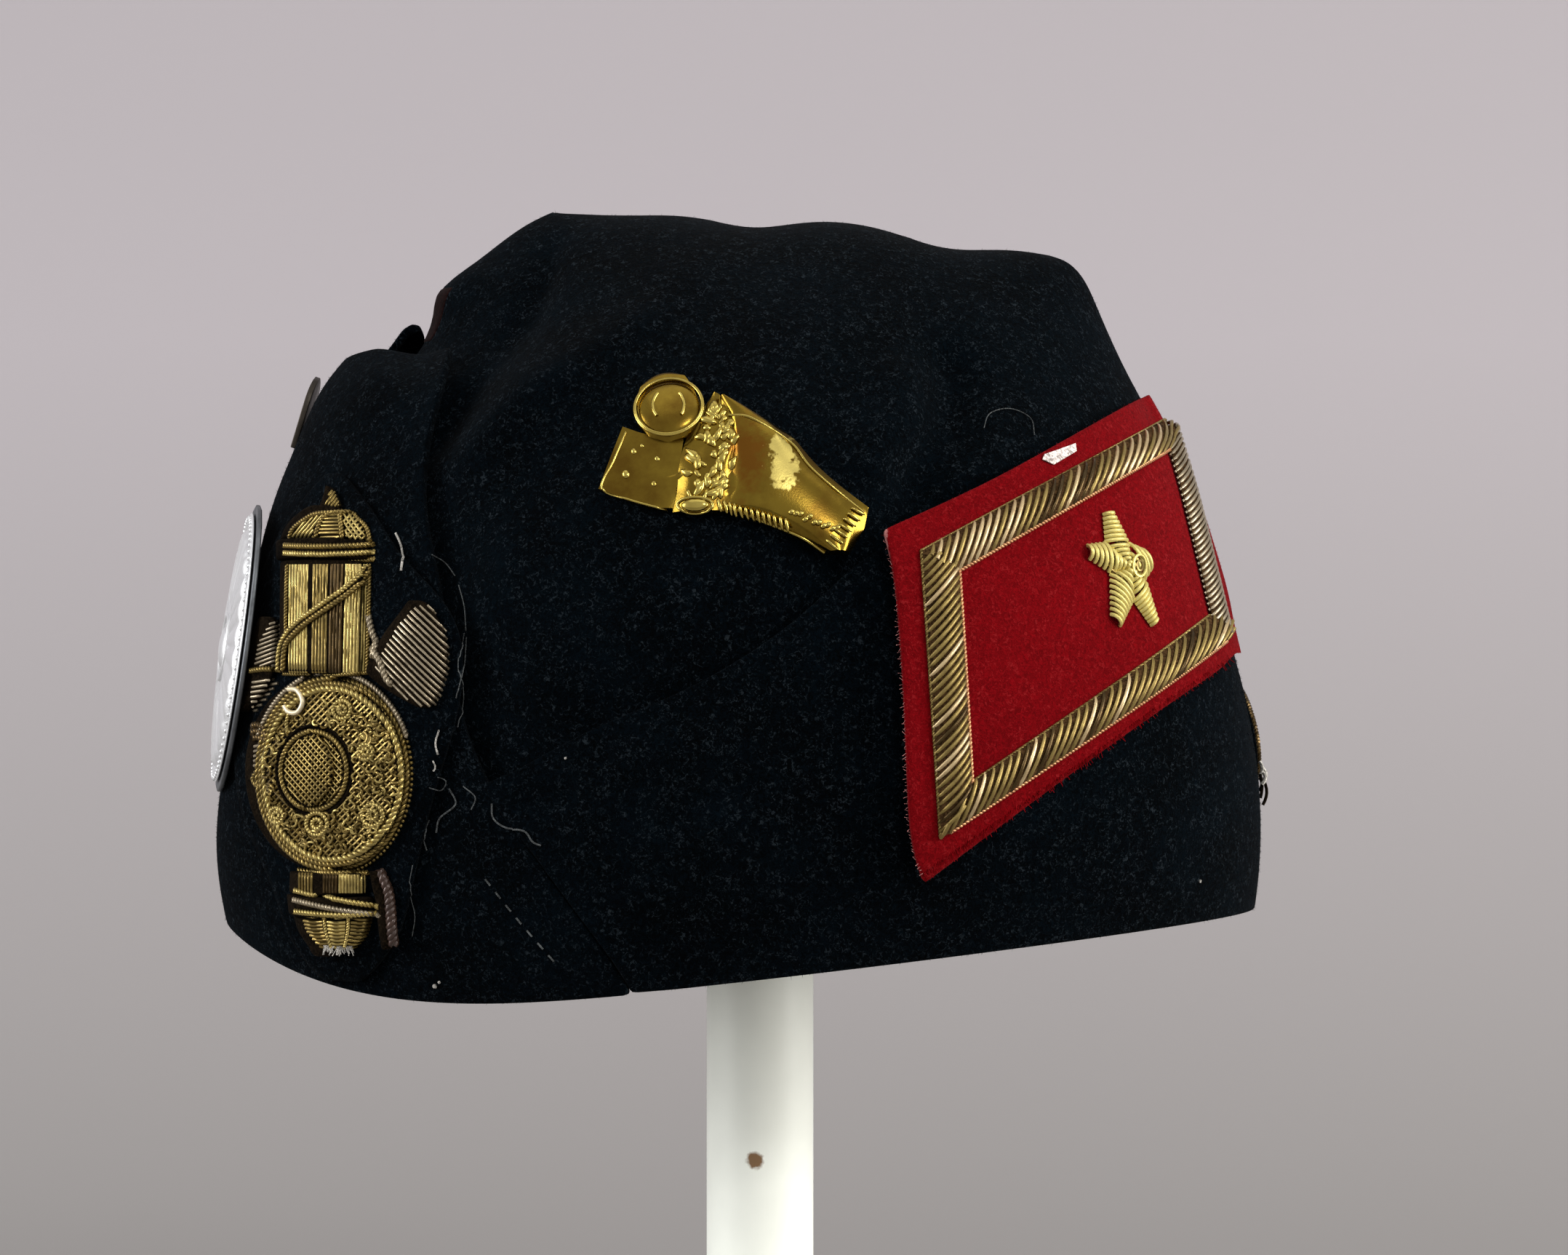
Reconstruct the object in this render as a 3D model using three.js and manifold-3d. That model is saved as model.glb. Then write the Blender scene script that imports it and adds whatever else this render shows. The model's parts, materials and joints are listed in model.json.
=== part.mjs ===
// A garrison cap of black wool felt with sewn and pinned badges, held on a plain post stand.
// Millimetres, +Z up. The cap's front points to -X and its left side to -Y, and the post stands on the
// Z axis. Heights named rise are counted from RIM_BASE, and all others from the floor.
import * as THREE from 'three';
import { mergeVertices } from 'three/addons/utils/BufferGeometryUtils.js';
import Module from 'manifold-3d';

const wasm = await Module();
wasm.setup();

// ---- Driving dimensions ----

const RIM_BASE = 115;
const GAP = 0.3; // between neighbouring pieces
const SEAT_GAP = 0.35; // under a piece that lies on the curved cloth

const CROWN_WALL = 1.8;
const CROWN_COLUMNS = 60; // an even number, so that the two sides meet along the ridge
const CROWN_ROWS = 21;
const CROWN_ROW_SPREAD = 0.8; // below 1, its rows lie closer towards the ridge
const CROWN_RIM_LEVEL = 0.012; // the crown's edge sits a little up inside the flaps
const EAR_FLAP_SEAT = 3.4; // how far the crown draws in under the flaps
const FRONT_FLAP_SEAT = 4;
const SEAT_FADE = 7; // width of the crown's step down to them
const SEAT_MARGIN = 3.5; // how far above a flap's edge that step ends

const FRONT_FLAP_WALL = 1.8;
const EAR_FLAP_WALL = 1.8;
const EAR_FLAP_DROP = 0.6; // the ear flaps' outer face, below the cap's outer form
const FLAP_ROW_SPREAD = 0.45; // from 0 up, a flap's rows lie closer towards both its edges
const FLAP_PARTING = 1.5; // between the front flap's rear edge and the ear flap's front edge
const FRONT_FLAP_TOP = { centre: 129.3, side: 135.3, sideTurn: 0.11 };
// The right half's corner, which stands up and leans out.
const FRONT_FLAP_PEAK = { turn: -0.035, width: 0.018, height: 6, lean: 4, leanFrom: 124, leanOver: 9 };

const BACKING_WALL = 1.4;
const GOLD_SEAT = SEAT_GAP + BACKING_WALL + GAP; // the bullion pieces' underside
const PATCH_WALL = 1.6;
const PATCH_CURL = { reach: 0.2, height: 2.4 }; // the patch's left edge stands off the cloth
const BRAID_SEAT = 2.35; // above the patch's face
const PATCH_SIZE = { across: 120, up: 64 }; // along the cloth
const BRAID = { left: 0.05, right: 0.935, bottom: 0.1, top: 0.925, width: 6.8, height: 1.7 };
const BRAID_COURSES = [
  { inset: 0, height: 0.5 },
  { inset: 0.25, height: 0.9 },
  { inset: 0.6, height: 1 },
  { inset: 1, height: 0.5 },
];

const POST_RADIUS = 11;
const BASE_RADIUS = 75;
const BASE_HEIGHT = 10;
const BASE_BEVEL = 1.5;
const STAND_TOP = { radius: 26, rim: 262, crest: 272.2, under: 256, bevel: 2, rings: [1, 0.8, 0.55, 0.3, 0] };

const FELT = { color: 0x0b0f13, roughness: 0.95, metalness: 0 };
const BINDING = { ...FELT, color: 0x2a1713 };
const RED_FELT = { ...FELT, color: 0xa3121f };
const GOLD = { color: 0x9a7434, roughness: 0.45, metalness: 0.8 };
const BRASS = { color: 0xd2a93a, roughness: 0.2, metalness: 1 };
const SILVER = { color: 0xc9cdd0, roughness: 0.3, metalness: 1 };
const DULL_SILVER = { color: 0x63676a, roughness: 0.4, metalness: 0.9 };
const BRONZE = { color: 0x3a332b, roughness: 0.5, metalness: 0.9 };
const WHITE_PAINT = { color: 0xe8ebe4, roughness: 0.5, metalness: 0 };

// ---- Shape tables ----

// The cap's outer form, one section for each level from the rim (0) to the ridge (1): its ends along X
// and their rises, the rise at mid-length, the half width, the rise towards the back, and how late the
// ends lift away from that slope.
const SECTIONS = [
  { level: 0, front: -109.8, back: 102.6, frontRise: 17, backRise: 19.5, sideRise: 8.3, half: 68, slope: 11.8, power: 4 },
  { level: 0.06, front: -111.5, back: 103.6, frontRise: 25, backRise: 27, sideRise: 17, half: 71, slope: 10, power: 4 },
  { level: 0.14, front: -112.4, back: 104, frontRise: 35.3, backRise: 38, sideRise: 29, half: 73.5, slope: 8, power: 3.5 },
  { level: 0.26, front: -110.6, back: 103.2, frontRise: 50, backRise: 51, sideRise: 47, half: 75.5, slope: 5, power: 3 },
  { level: 0.4, front: -106.8, back: 99.8, frontRise: 73, backRise: 67, sideRise: 68, half: 75.5, slope: 2, power: 3 },
  { level: 0.52, front: -102.6, back: 94.6, frontRise: 95, backRise: 85, sideRise: 87, half: 73, slope: 0, power: 2.5 },
  { level: 0.62, front: -97.3, back: 89, frontRise: 111, backRise: 102, sideRise: 103, half: 68.5, slope: 0, power: 2.5 },
  { level: 0.7, front: -91.3, back: 83.3, frontRise: 122.5, backRise: 116, sideRise: 117, half: 62, slope: 0, power: 2 },
  { level: 0.76, front: -84.5, back: 79.2, frontRise: 130, backRise: 123.5, sideRise: 127, half: 55, slope: -1, power: 2 },
  { level: 0.8, front: -75, back: 75.8, frontRise: 133, backRise: 130, sideRise: 134, half: 49, slope: -1.5, power: 2 },
  { level: 0.84, front: -68, back: 72.8, frontRise: 138.5, backRise: 136.5, sideRise: 141, half: 42, slope: -2, power: 2 },
  { level: 0.89, front: -63, back: 69.6, frontRise: 148.5, backRise: 144, sideRise: 149.5, half: 32, slope: -3, power: 2 },
  { level: 0.94, front: -53, back: 66.5, frontRise: 157, backRise: 150.5, sideRise: 157, half: 21, slope: -4, power: 2 },
  { level: 0.98, front: -45, back: 62, frontRise: 162.7, backRise: 153.9, sideRise: 161.8, half: 10, slope: -5, power: 2 },
  { level: 1, front: -41, back: 58, frontRise: 164, backRise: 154.6, sideRise: 162.8, half: 0, slope: -5, power: 2 },
];
const SECTION_COLUMNS = Object.keys(SECTIONS[0]).filter((column) => column !== 'level');

// Soft dents across the ridge, and the level from which they show.
const RIDGE_DENT_LEVEL = 0.78;
const RIDGE_DENTS = [
  { x: -26, depth: 1.2, width: 11 },
  { x: -2, depth: 3.3, width: 11 },
  { x: 38, depth: 2.8, width: 11 },
];

// Folds in the crown's cloth: each runs on a curve from its start to its end, drawn towards its bend.
// A positive depth is a valley and a negative one a ridge.
const FOLD_END = { share: 0.25, strength: 0.35 }; // a fold weakens over this share of its length
const FOLD_CLEAR_OF_RIDGE = 14; // and within this distance of the cap's middle plane
const FOLDS = [
  { side: 'left', startX: -41, startRise: 162, bendX: -49, bendRise: 129, endX: -70, endRise: 107, depth: 3.2, width: 5.5 },
  { side: 'left', startX: -12, startRise: 124, bendX: -42, bendRise: 116, endX: -64, endRise: 96, depth: 2.6, width: 10 },
  { side: 'left', startX: 2, startRise: 158, bendX: -34, bendRise: 136, endX: -68, endRise: 103, depth: -1.4, width: 7 },
  { side: 'left', startX: 34, startRise: 140, bendX: 45, bendRise: 118, endX: 22, endRise: 94, depth: 4.2, width: 5.5 },
  { side: 'right', startX: -41, startRise: 162, bendX: -46, bendRise: 132, endX: -66, endRise: 112, depth: 2.6, width: 6 },
  { side: 'right', startX: 30, startRise: 146, bendX: 36, bendRise: 124, endX: 16, endRise: 104, depth: 3.4, width: 7 },
  { side: 'right', startX: -20, startRise: 128, bendX: -38, bendRise: 116, endX: -58, endRise: 102, depth: 2, width: 10 },
];

// The ear flap's upper edge, from its front corner to the back.
const EAR_FLAP_TOP = [
  { x: -52, rise: 46.7 },
  { x: -30, rise: 59 },
  { x: -17, rise: 63.7 },
  { x: -8, rise: 68.4 },
  { x: 9, rise: 80 },
  { x: 18, rise: 89.3 },
  { x: 25, rise: 94.5 },
  { x: 45, rise: 97 },
  { x: 95, rise: 97 },
];

// The front flap's rear edge, from the rim up.
const FRONT_FLAP_REAR = [
  { rise: 8, x: -24.7 },
  { rise: 35, x: -45 },
  { rise: 46, x: -53.5 },
  { rise: 64, x: -59.5 },
  { rise: 90, x: -63 },
  { rise: 107, x: -68 },
  { rise: 121, x: -64 },
  { rise: 135, x: -62 },
];

// The red patch: its left edge from the bottom up, then its upper and lower edges from left to right.
const PATCH_LEFT = [
  { rise: 28.7, x: 31 },
  { rise: 37, x: 28.5 },
  { rise: 64, x: 27.2 },
  { rise: 86, x: 25.5 },
  { rise: 95, x: 23.4 },
];
const PATCH_UPPER = [
  { x: 23.4, rise: 95 },
  { x: 66, rise: 115.8 },
  { x: 80, rise: 123.3 },
];
const PATCH_LOWER = [
  { x: 31, rise: 28.7 },
  { x: 80, rise: 62.1 },
  { x: 97, rise: 72 },
];
const PATCH_RIGHT_TURN = 0.517; // a little past the back's middle

// The arms of the embroidered star, by angle from the cap's rear and by reach.
const STAR = { x: 72, rise: 88.4, valley: 4.4, height: 2, edge: 0.9, rings: [1, 0.55, 0] };
const STAR_ARMS = [
  { degrees: 32, reach: 8.4 },
  { degrees: 119, reach: 13 },
  { degrees: 163, reach: 12.6 },
  { degrees: 256, reach: 10.6 },
  { degrees: 313, reach: 13.6 },
];

// Pieces of the bullion badge. Each is padded between a left and a right edge, by rise.
const BACKING_EDGES = [
  { rise: 8, left: -86, right: -77 },
  { rise: 14, left: -92, right: -70.5 },
  { rise: 28, left: -96, right: -67 },
  { rise: 36, left: -101, right: -65 },
  { rise: 46, left: -104.4, right: -62.5 },
  { rise: 58, left: -104.8, right: -58.5 },
  { rise: 72, left: -103.6, right: -56.5 },
  { rise: 83, left: -101, right: -60.5 },
  { rise: 89, left: -99, right: -69 },
  { rise: 97, left: -95, right: -73 },
  { rise: 103, left: -89.5, right: -78 },
  { rise: 107.5, left: -85.5, right: -82 },
];
const FINIAL_EDGES = [
  { rise: 100.3, left: -85.9, right: -81 },
  { rise: 102.2, left: -84.9, right: -81.8 },
  { rise: 104.3, left: -83.7, right: -83.1 },
];
const DOME_EDGES = [
  { rise: 94, left: -93.8, right: -76.2 },
  { rise: 96.8, left: -92.6, right: -76.9 },
  { rise: 98.8, left: -89.8, right: -79 },
  { rise: 100, left: -86.8, right: -80.4 },
];
const TOP_RINGS_EDGES = [
  { rise: 90.1, left: -94.2, right: -75.6 },
  { rise: 93.7, left: -94.4, right: -75.4 },
];
const COLUMN_EDGES = [
  { rise: 67.9, left: -93.1, right: -77 },
  { rise: 89.8, left: -93.4, right: -76.5 },
];
const RIGHT_LOBE_EDGES = [
  { rise: 61.6, left: -65, right: -62.6 },
  { rise: 63.6, left: -69.6, right: -61.2 },
  { rise: 68.6, left: -75.6, right: -59.6 },
  { rise: 71, left: -74.6, right: -59.2 },
  { rise: 77, left: -71, right: -60.2 },
  { rise: 82, left: -66.8, right: -63.8 },
];
const LEFT_LOBE_EDGES = [
  { rise: 60, left: -102, right: -100.4 },
  { rise: 63, left: -102, right: -97.8 },
  { rise: 67, left: -101.5, right: -94.8 },
  { rise: 74, left: -100.4, right: -94.4 },
  { rise: 79, left: -97.8, right: -94.8 },
];
const NECK_EDGES = [
  { rise: 25.3, left: -91, right: -76.2 },
  { rise: 29.4, left: -90.8, right: -76.4 },
];
const LOW_RINGS_EDGES = [
  { rise: 21.2, left: -91, right: -74.2 },
  { rise: 25, left: -91.4, right: -74 },
];
const BULB_EDGES = [
  { rise: 13.8, left: -85.4, right: -79.4 },
  { rise: 15.5, left: -87.4, right: -77.6 },
  { rise: 17.8, left: -89.3, right: -75.8 },
  { rise: 20.9, left: -90.2, right: -75 },
];
const SIDE_CORD_EDGES = [
  { rise: 15, left: -72.4, right: -70.4 },
  { rise: 16.4, left: -73, right: -70 },
  { rise: 25, left: -73.5, right: -70.9 },
  { rise: 28.6, left: -74.8, right: -72.2 },
  { rise: 30, left: -74.6, right: -73 },
];
const BULLION_PIECES = [
  { name: 'badge_finial', edges: FINIAL_EDGES, edge: 0.5, bulge: 1.4, rowCount: 3, columnCount: 4 },
  { name: 'badge_dome', edges: DOME_EDGES, edge: 0.8, bulge: 3, rowCount: 4, columnCount: 6 },
  { name: 'badge_top_rings', edges: TOP_RINGS_EDGES, edge: 1, bulge: 3.6, rowCount: 2, columnCount: 6 },
  { name: 'badge_column', edges: COLUMN_EDGES, edge: 0.8, bulge: 3.2, rowCount: 4, columnCount: 8 },
  { name: 'badge_right_lobe', edges: RIGHT_LOBE_EDGES, edge: 0.8, bulge: 1.6, rowCount: 6, columnCount: 6 },
  { name: 'badge_left_lobe', edges: LEFT_LOBE_EDGES, edge: 0.7, bulge: 1.2, rowCount: 5, columnCount: 4 },
  { name: 'badge_neck', edges: NECK_EDGES, edge: 0.8, bulge: 3, rowCount: 2, columnCount: 6 },
  { name: 'badge_low_rings', edges: LOW_RINGS_EDGES, edge: 1, bulge: 3.6, rowCount: 2, columnCount: 6 },
  { name: 'badge_bulb', edges: BULB_EDGES, edge: 0.8, bulge: 3.2, rowCount: 5, columnCount: 6 },
  { name: 'badge_side_cord', edges: SIDE_CORD_EDGES, edge: 0.5, bulge: 1.4, rowCount: 5, columnCount: 4 },
];
// rings are the shares of the radius at which a round piece has its rows of points.
const MEDALLION = {
  x: -83.8, rise: 48.6, halfWidth: 15.8, halfHeight: 18.9, height: 2.4, rim: 2.1,
  flatShare: 0.9, rings: [0, 0.35, 0.7, 0.92, 1], sides: 22,
};
const BOSS = {
  x: -87.2, rise: 49.2, halfWidth: 7, halfHeight: 7.8, height: 1.6, rim: 0.6, rings: [0, 0.6, 1], sides: 14,
};

// The stamped brass pin, in overlapping stretches.
const PIN_PLATE_EDGES = [
  { rise: 99.8, left: -20.6, right: -16.2 },
  { rise: 103.9, left: -30.6, right: -15.6 },
  { rise: 110, left: -28.4, right: -14.8 },
  { rise: 115.6, left: -26.2, right: -14.4 },
];
const PIN_DISC = {
  x: -17.4, rise: 120.9, halfWidth: 6.9, halfHeight: 7, rings: [0, 0.5, 0.7, 0.9, 1], sides: 12,
};
const PIN_RUFF_EDGES = [
  { rise: 99, left: -16.4, right: -5 },
  { rise: 104, left: -15.8, right: -4.4 },
  { rise: 112, left: -14.4, right: -2 },
  { rise: 119, left: -12.6, right: -2.6 },
  { rise: 122.8, left: -10, right: -6.4 },
];
const PIN_BODY_EDGES = [
  { rise: 91.2, left: 12.6, right: 17.4 },
  { rise: 94.4, left: 8, right: 19.4 },
  { rise: 97.4, left: 0.6, right: 20.8 },
  { rise: 100.4, left: -6.4, right: 21 },
  { rise: 104, left: -6.6, right: 15.6 },
  { rise: 109, left: -6.4, right: 10 },
  { rise: 114, left: -6.2, right: 6.2 },
  { rise: 119, left: -6.4, right: -1.4 },
  { rise: 122, left: -7.4, right: -5.6 },
];
const PIN_WALL = 1.3;
const PIN_BULGE = { plate: 0.3, ruff: 1.6, body: 2.6 };
const PIN_DISC_RELIEF = { inside: 0.7, insideShare: 0.6, ring: 1.3, edge: 0.4 };
const RUFF_CRUMPLE = { depth: 0.5, across: 17, up: 23, twist: 9 };

const SILVER_PLATE = {
  x: -106.8, y: -12, rise: 73, halfWidth: 21, halfHeight: 28, edge: 0.8, dome: 2.6,
  rays: 14, rayFrom: 0.35, rayDepth: 0.35, rings: [0, 0.4, 0.7, 0.92, 1],
};
const SILVER_BACK = { halfWidth: 22.5, halfHeight: 29.5, wall: 1 };
const SILVER_TILT = THREE.MathUtils.degToRad(7.8);
const SILVER_YAW = THREE.MathUtils.degToRad(10);
const BRONZE_PLATE = {
  x: -96.6, y: 9, rise: 117, length: 27, width: 20, wall: 1.2, curveFrom: 0.1, curveBend: 0.4,
};
const BRONZE_TILT = THREE.MathUtils.degToRad(20);

const BACK_BADGE = { turn: 0.536, rise: 54.5, halfTurn: 0.026, halfHeight: 13, rings: [1, 0.6, 0], sides: 18 };
const BACK_FELT_WALL = 0.9;
const BACK_BRAID = [
  { share: 0.96, height: 0.4 },
  { share: 0.82, height: 0.9 },
  { share: 0.68, height: 0.4 },
];
const CROWN_BINDING = { halfTurn: 0.022, low: 136.5, high: 147, seat: 0.9, wall: 0.9 };

// ---- Small helpers ----

const clamp01 = (t) => Math.min(1, Math.max(0, t));
const mix = (a, b, t) => a + (b - a) * t;
const ease = (t) => clamp01(t) ** 2 * (3 - 2 * clamp01(t));
const bell = (distance, width) => Math.exp(-((distance / width) ** 2));
const steps = (count) => Array.from({ length: count + 1 }, (_, i) => i / count);

// The value in one column of a table at a place between its rows, on a smooth monotone curve.
function along(rows, key, place, column) {
  const after = rows.findIndex((row) => row[key] >= place);
  const i = Math.max(0, (after < 0 ? rows.length - 1 : after) - 1);
  const span = (k) => rows[k + 1][key] - rows[k][key];
  const climb = (k) => (rows[k + 1][column] - rows[k][column]) / span(k);
  const tangent = (k) => {
    if (k === 0) return climb(0);
    if (k === rows.length - 1) return climb(k - 1);
    const [before, next] = [climb(k - 1), climb(k)];
    return before * next <= 0 ? 0 : (2 * before * next) / (before + next);
  };
  const h = span(i);
  const t = clamp01((place - rows[i][key]) / h);
  const ends = rows[i][column] * (1 + 2 * t) * (1 - t) ** 2 + rows[i + 1][column] * t * t * (3 - 2 * t);
  return ends + h * tangent(i) * t * (1 - t) ** 2 - h * tangent(i + 1) * t * t * (1 - t);
}

// ---- The cap's outer form ----

// A point of the outer form, its Z counted as rise: turn runs from the front (0) by the left side
// (0.25) to the back (0.5), and level from the rim (0) to the ridge (1).
function formPoint(turn, level) {
  const section = {};
  for (const column of SECTION_COLUMNS) section[column] = along(SECTIONS, 'level', level, column);
  const lengthwise = -Math.cos(turn * 2 * Math.PI);
  const x = mix(section.front, section.back, (lengthwise + 1) / 2);
  const y = -section.half * Math.sin(turn * 2 * Math.PI);
  const frontLift = section.frontRise - section.sideRise + section.slope;
  const backLift = section.backRise - section.sideRise - section.slope;
  let rise = section.sideRise + section.slope * lengthwise;
  rise += frontLift * Math.max(0, -lengthwise) ** section.power;
  rise += backLift * Math.max(0, lengthwise) ** section.power;
  const nearRidge = ease((level - RIDGE_DENT_LEVEL) / (1 - RIDGE_DENT_LEVEL));
  for (const dent of RIDGE_DENTS) rise -= dent.depth * bell(x - dent.x, dent.width) * nearRidge;
  return new THREE.Vector3(x, y, rise);
}

// The outward normal of the outer form.
function formNormal(turn, level) {
  const step = 0.002;
  const low = Math.max(0, level - step);
  const high = Math.min(1 - step, level + step);
  const round = formPoint(turn + step, low).sub(formPoint(turn - step, low));
  const up = formPoint(turn, high).sub(formPoint(turn, low));
  return round.cross(up).normalize();
}

// The level at which the form reaches a rise.
function levelAt(turn, rise) {
  let [low, high] = [0, 1];
  for (let i = 0; i < 26; i++) {
    const middle = (low + high) / 2;
    if (formPoint(turn, middle).z < rise) low = middle;
    else high = middle;
  }
  return (low + high) / 2;
}

// The turn of the place on the left side that has this X and rise.
function turnAt(x, rise) {
  let [low, high] = [0.001, 0.5];
  for (let i = 0; i < 22; i++) {
    const middle = (low + high) / 2;
    if (formPoint(middle, levelAt(middle, rise)).x < x) low = middle;
    else high = middle;
  }
  return (low + high) / 2;
}

// The rise on a turn where a table of edge heights, given by X, meets the form.
function riseOnEdge(turn, edge) {
  let rise = edge[0].rise;
  for (let i = 0; i < 14; i++) {
    const { x } = formPoint(turn, levelAt(turn, rise));
    rise = mix(rise, along(edge, 'x', x, 'rise'), 0.8);
  }
  return rise;
}

// ---- Folds and the seats of the flaps ----

const FOLD_STEPS = steps(14);
const foldCurves = FOLDS.map((fold) => ({
  ...fold,
  places: FOLD_STEPS.map((t) => ({
    t,
    x: mix(mix(fold.startX, fold.bendX, t), mix(fold.bendX, fold.endX, t), t),
    rise: mix(mix(fold.startRise, fold.bendRise, t), mix(fold.bendRise, fold.endRise, t), t),
  })),
}));

// How far the folds draw the cloth in at a place of the form.
function foldDepth(point) {
  const side = point.y <= 0 ? 'left' : 'right';
  let depth = 0;
  for (const fold of foldCurves) {
    if (fold.side !== side) continue;
    let nearest = { distance: Infinity, t: 0 };
    for (const place of fold.places) {
      const distance = Math.hypot(point.x - place.x, point.z - place.rise);
      if (distance < nearest.distance) nearest = { distance, t: place.t };
    }
    const fade = ease(nearest.t / FOLD_END.share) * ease((1 - nearest.t) / FOLD_END.share);
    depth += fold.depth * bell(nearest.distance, fold.width) * mix(FOLD_END.strength, 1, fade);
  }
  return depth * ease(Math.abs(point.y) / FOLD_CLEAR_OF_RIDGE);
}

function frontFlapTopAt(turn) {
  const { centre, side, sideTurn: farTurn } = FRONT_FLAP_TOP;
  const { turn: peakTurn, width, height } = FRONT_FLAP_PEAK;
  return mix(centre, side, clamp01(Math.abs(turn) / farTurn) ** 1.5) + height * bell(turn - peakTurn, width);
}

// How far the crown draws in at a place of the form to make room for the flaps.
function seatDepth(turn, point) {
  const centredTurn = turn > 0.5 ? turn - 1 : turn;
  const earTop = along(EAR_FLAP_TOP, 'x', point.x, 'rise');
  const underEar = ease((earTop + SEAT_MARGIN + SEAT_FADE - point.z) / SEAT_FADE);
  const rear = along(FRONT_FLAP_REAR, 'rise', point.z, 'x');
  const aheadOfRear = ease((rear + SEAT_MARGIN + SEAT_FADE - point.x) / SEAT_FADE);
  const flapTop = frontFlapTopAt(centredTurn) + SEAT_MARGIN;
  const underFront = aheadOfRear * ease((flapTop + SEAT_FADE - point.z) / SEAT_FADE);
  return Math.max(EAR_FLAP_SEAT * underEar, FRONT_FLAP_SEAT * underFront);
}

// ---- Closed solids from grids ----

// A closed solid between two skins. rows is a grid of { top, base } points, and wraps joins its last
// column to its first. Points that meet are one vertex, and the open edges get a wall.
function solidBetween(rows, wraps = false) {
  const tops = [];
  const bases = [];
  const seen = new Map();
  const indexOf = ({ top, base }) => {
    const key = top.toArray().map((v) => Math.round(v * 500)).join();
    if (!seen.has(key)) {
      seen.set(key, tops.length);
      tops.push(top);
      bases.push(base);
    }
    return seen.get(key);
  };
  const grid = rows.map((row) => row.map(indexOf));
  const count = grid[0].length;
  const skin = [];
  for (let r = 0; r + 1 < grid.length; r++)
    for (let c = 0; c + (wraps ? 0 : 1) < count; c++) {
      const next = (c + 1) % count;
      skin.push([grid[r][c], grid[r][next], grid[r + 1][next]]);
      skin.push([grid[r][c], grid[r + 1][next], grid[r + 1][c]]);
    }
  const whole = skin.filter(([a, b, c]) => a !== b && b !== c && c !== a);
  const index = [];
  const openEdges = new Map();
  const under = tops.length;
  for (const [a, b, c] of whole) {
    index.push(a, b, c, a + under, c + under, b + under);
    for (const [from, to] of [[a, b], [b, c], [c, a]])
      if (!openEdges.delete(`${to},${from}`)) openEdges.set(`${from},${to}`, [from, to]);
  }
  for (const [from, to] of openEdges.values())
    index.push(from, from + under, to + under, from, to + under, to);
  const geometry = new THREE.BufferGeometry();
  const positions = [...tops, ...bases].flatMap((point) => point.toArray());
  geometry.setAttribute('position', new THREE.Float32BufferAttribute(positions, 3));
  geometry.setIndex(index);
  geometry.computeVertexNormals();
  return geometry;
}

// The same grid of plain points given a wall inwards, square to the surface at every vertex.
function thicken(rows, wall, wraps = false) {
  const keyOf = (point) => point.toArray().map((v) => Math.round(v * 500)).join();
  const sums = new Map();
  const count = rows[0].length;
  for (const row of rows) for (const point of row) sums.set(keyOf(point), new THREE.Vector3());
  for (let r = 0; r + 1 < rows.length; r++)
    for (let c = 0; c + (wraps ? 0 : 1) < count; c++) {
      const next = (c + 1) % count;
      const corners = [rows[r][c], rows[r][next], rows[r + 1][next], rows[r + 1][c]];
      const area = corners[2].clone().sub(corners[0]).cross(corners[3].clone().sub(corners[1]));
      for (const corner of corners) sums.get(keyOf(corner)).add(area);
    }
  const withBase = (point) => ({
    top: point,
    base: point.clone().addScaledVector(sums.get(keyOf(point)).clone().normalize(), -wall),
  });
  return solidBetween(rows.map((row) => row.map(withBase)), wraps);
}

// The top and underside of a piece that lies on the form at a turn and rise.
function onForm(turn, rise, low, high) {
  const level = levelAt(turn, rise);
  const foot = formPoint(turn, level);
  foot.z = rise;
  const normal = formNormal(turn, level);
  return {
    top: foot.clone().addScaledVector(normal, high),
    base: foot.clone().addScaledVector(normal, low),
  };
}

// A padded piece between left and right edges, given by rise. bulge is its height above its edge.
function padBetween(edges, { seat, edge, bulge, rowCount = 6, columnCount = 6, relief = () => 0 }) {
  const [first, last] = [edges[0].rise, edges.at(-1).rise];
  const rows = steps(rowCount).map((up) => {
    const rise = mix(first, last, up);
    const fromTurn = turnAt(along(edges, 'rise', rise, 'left'), rise);
    const toTurn = turnAt(along(edges, 'rise', rise, 'right'), rise);
    return steps(columnCount).map((across) => {
      const arch = Math.sqrt(Math.max(0, 1 - (2 * across - 1) ** 2));
      const high = seat + edge + bulge * arch + relief(across, up);
      return onForm(mix(fromTurn, toTurn, across), rise, seat, high);
    });
  });
  return solidBetween(rows);
}

// A padded oval. profile gives its height above the seat by the share of its radius, 0 at the middle.
function padOval(oval, seat, ringShares, columnCount, profile) {
  const rows = [...ringShares].reverse().map((share) =>
    steps(columnCount).slice(0, -1).map((around) => {
      const angle = around * 2 * Math.PI;
      const x = oval.x + oval.halfWidth * share * Math.cos(angle);
      const rise = oval.rise + oval.halfHeight * share * Math.sin(angle);
      return onForm(turnAt(x, rise), rise, seat, seat + profile(share, angle));
    }),
  );
  return solidBetween(rows, true);
}

function toManifold(geometry) {
  const bare = geometry.clone();
  for (const name of Object.keys(bare.attributes)) if (name !== 'position') bare.deleteAttribute(name);
  const merged = mergeVertices(bare, 1e-4);
  return new wasm.Manifold(
    new wasm.Mesh({
      numProp: 3,
      vertProperties: new Float32Array(merged.attributes.position.array),
      triVerts: new Uint32Array(merged.index.array),
    }),
  );
}

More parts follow.
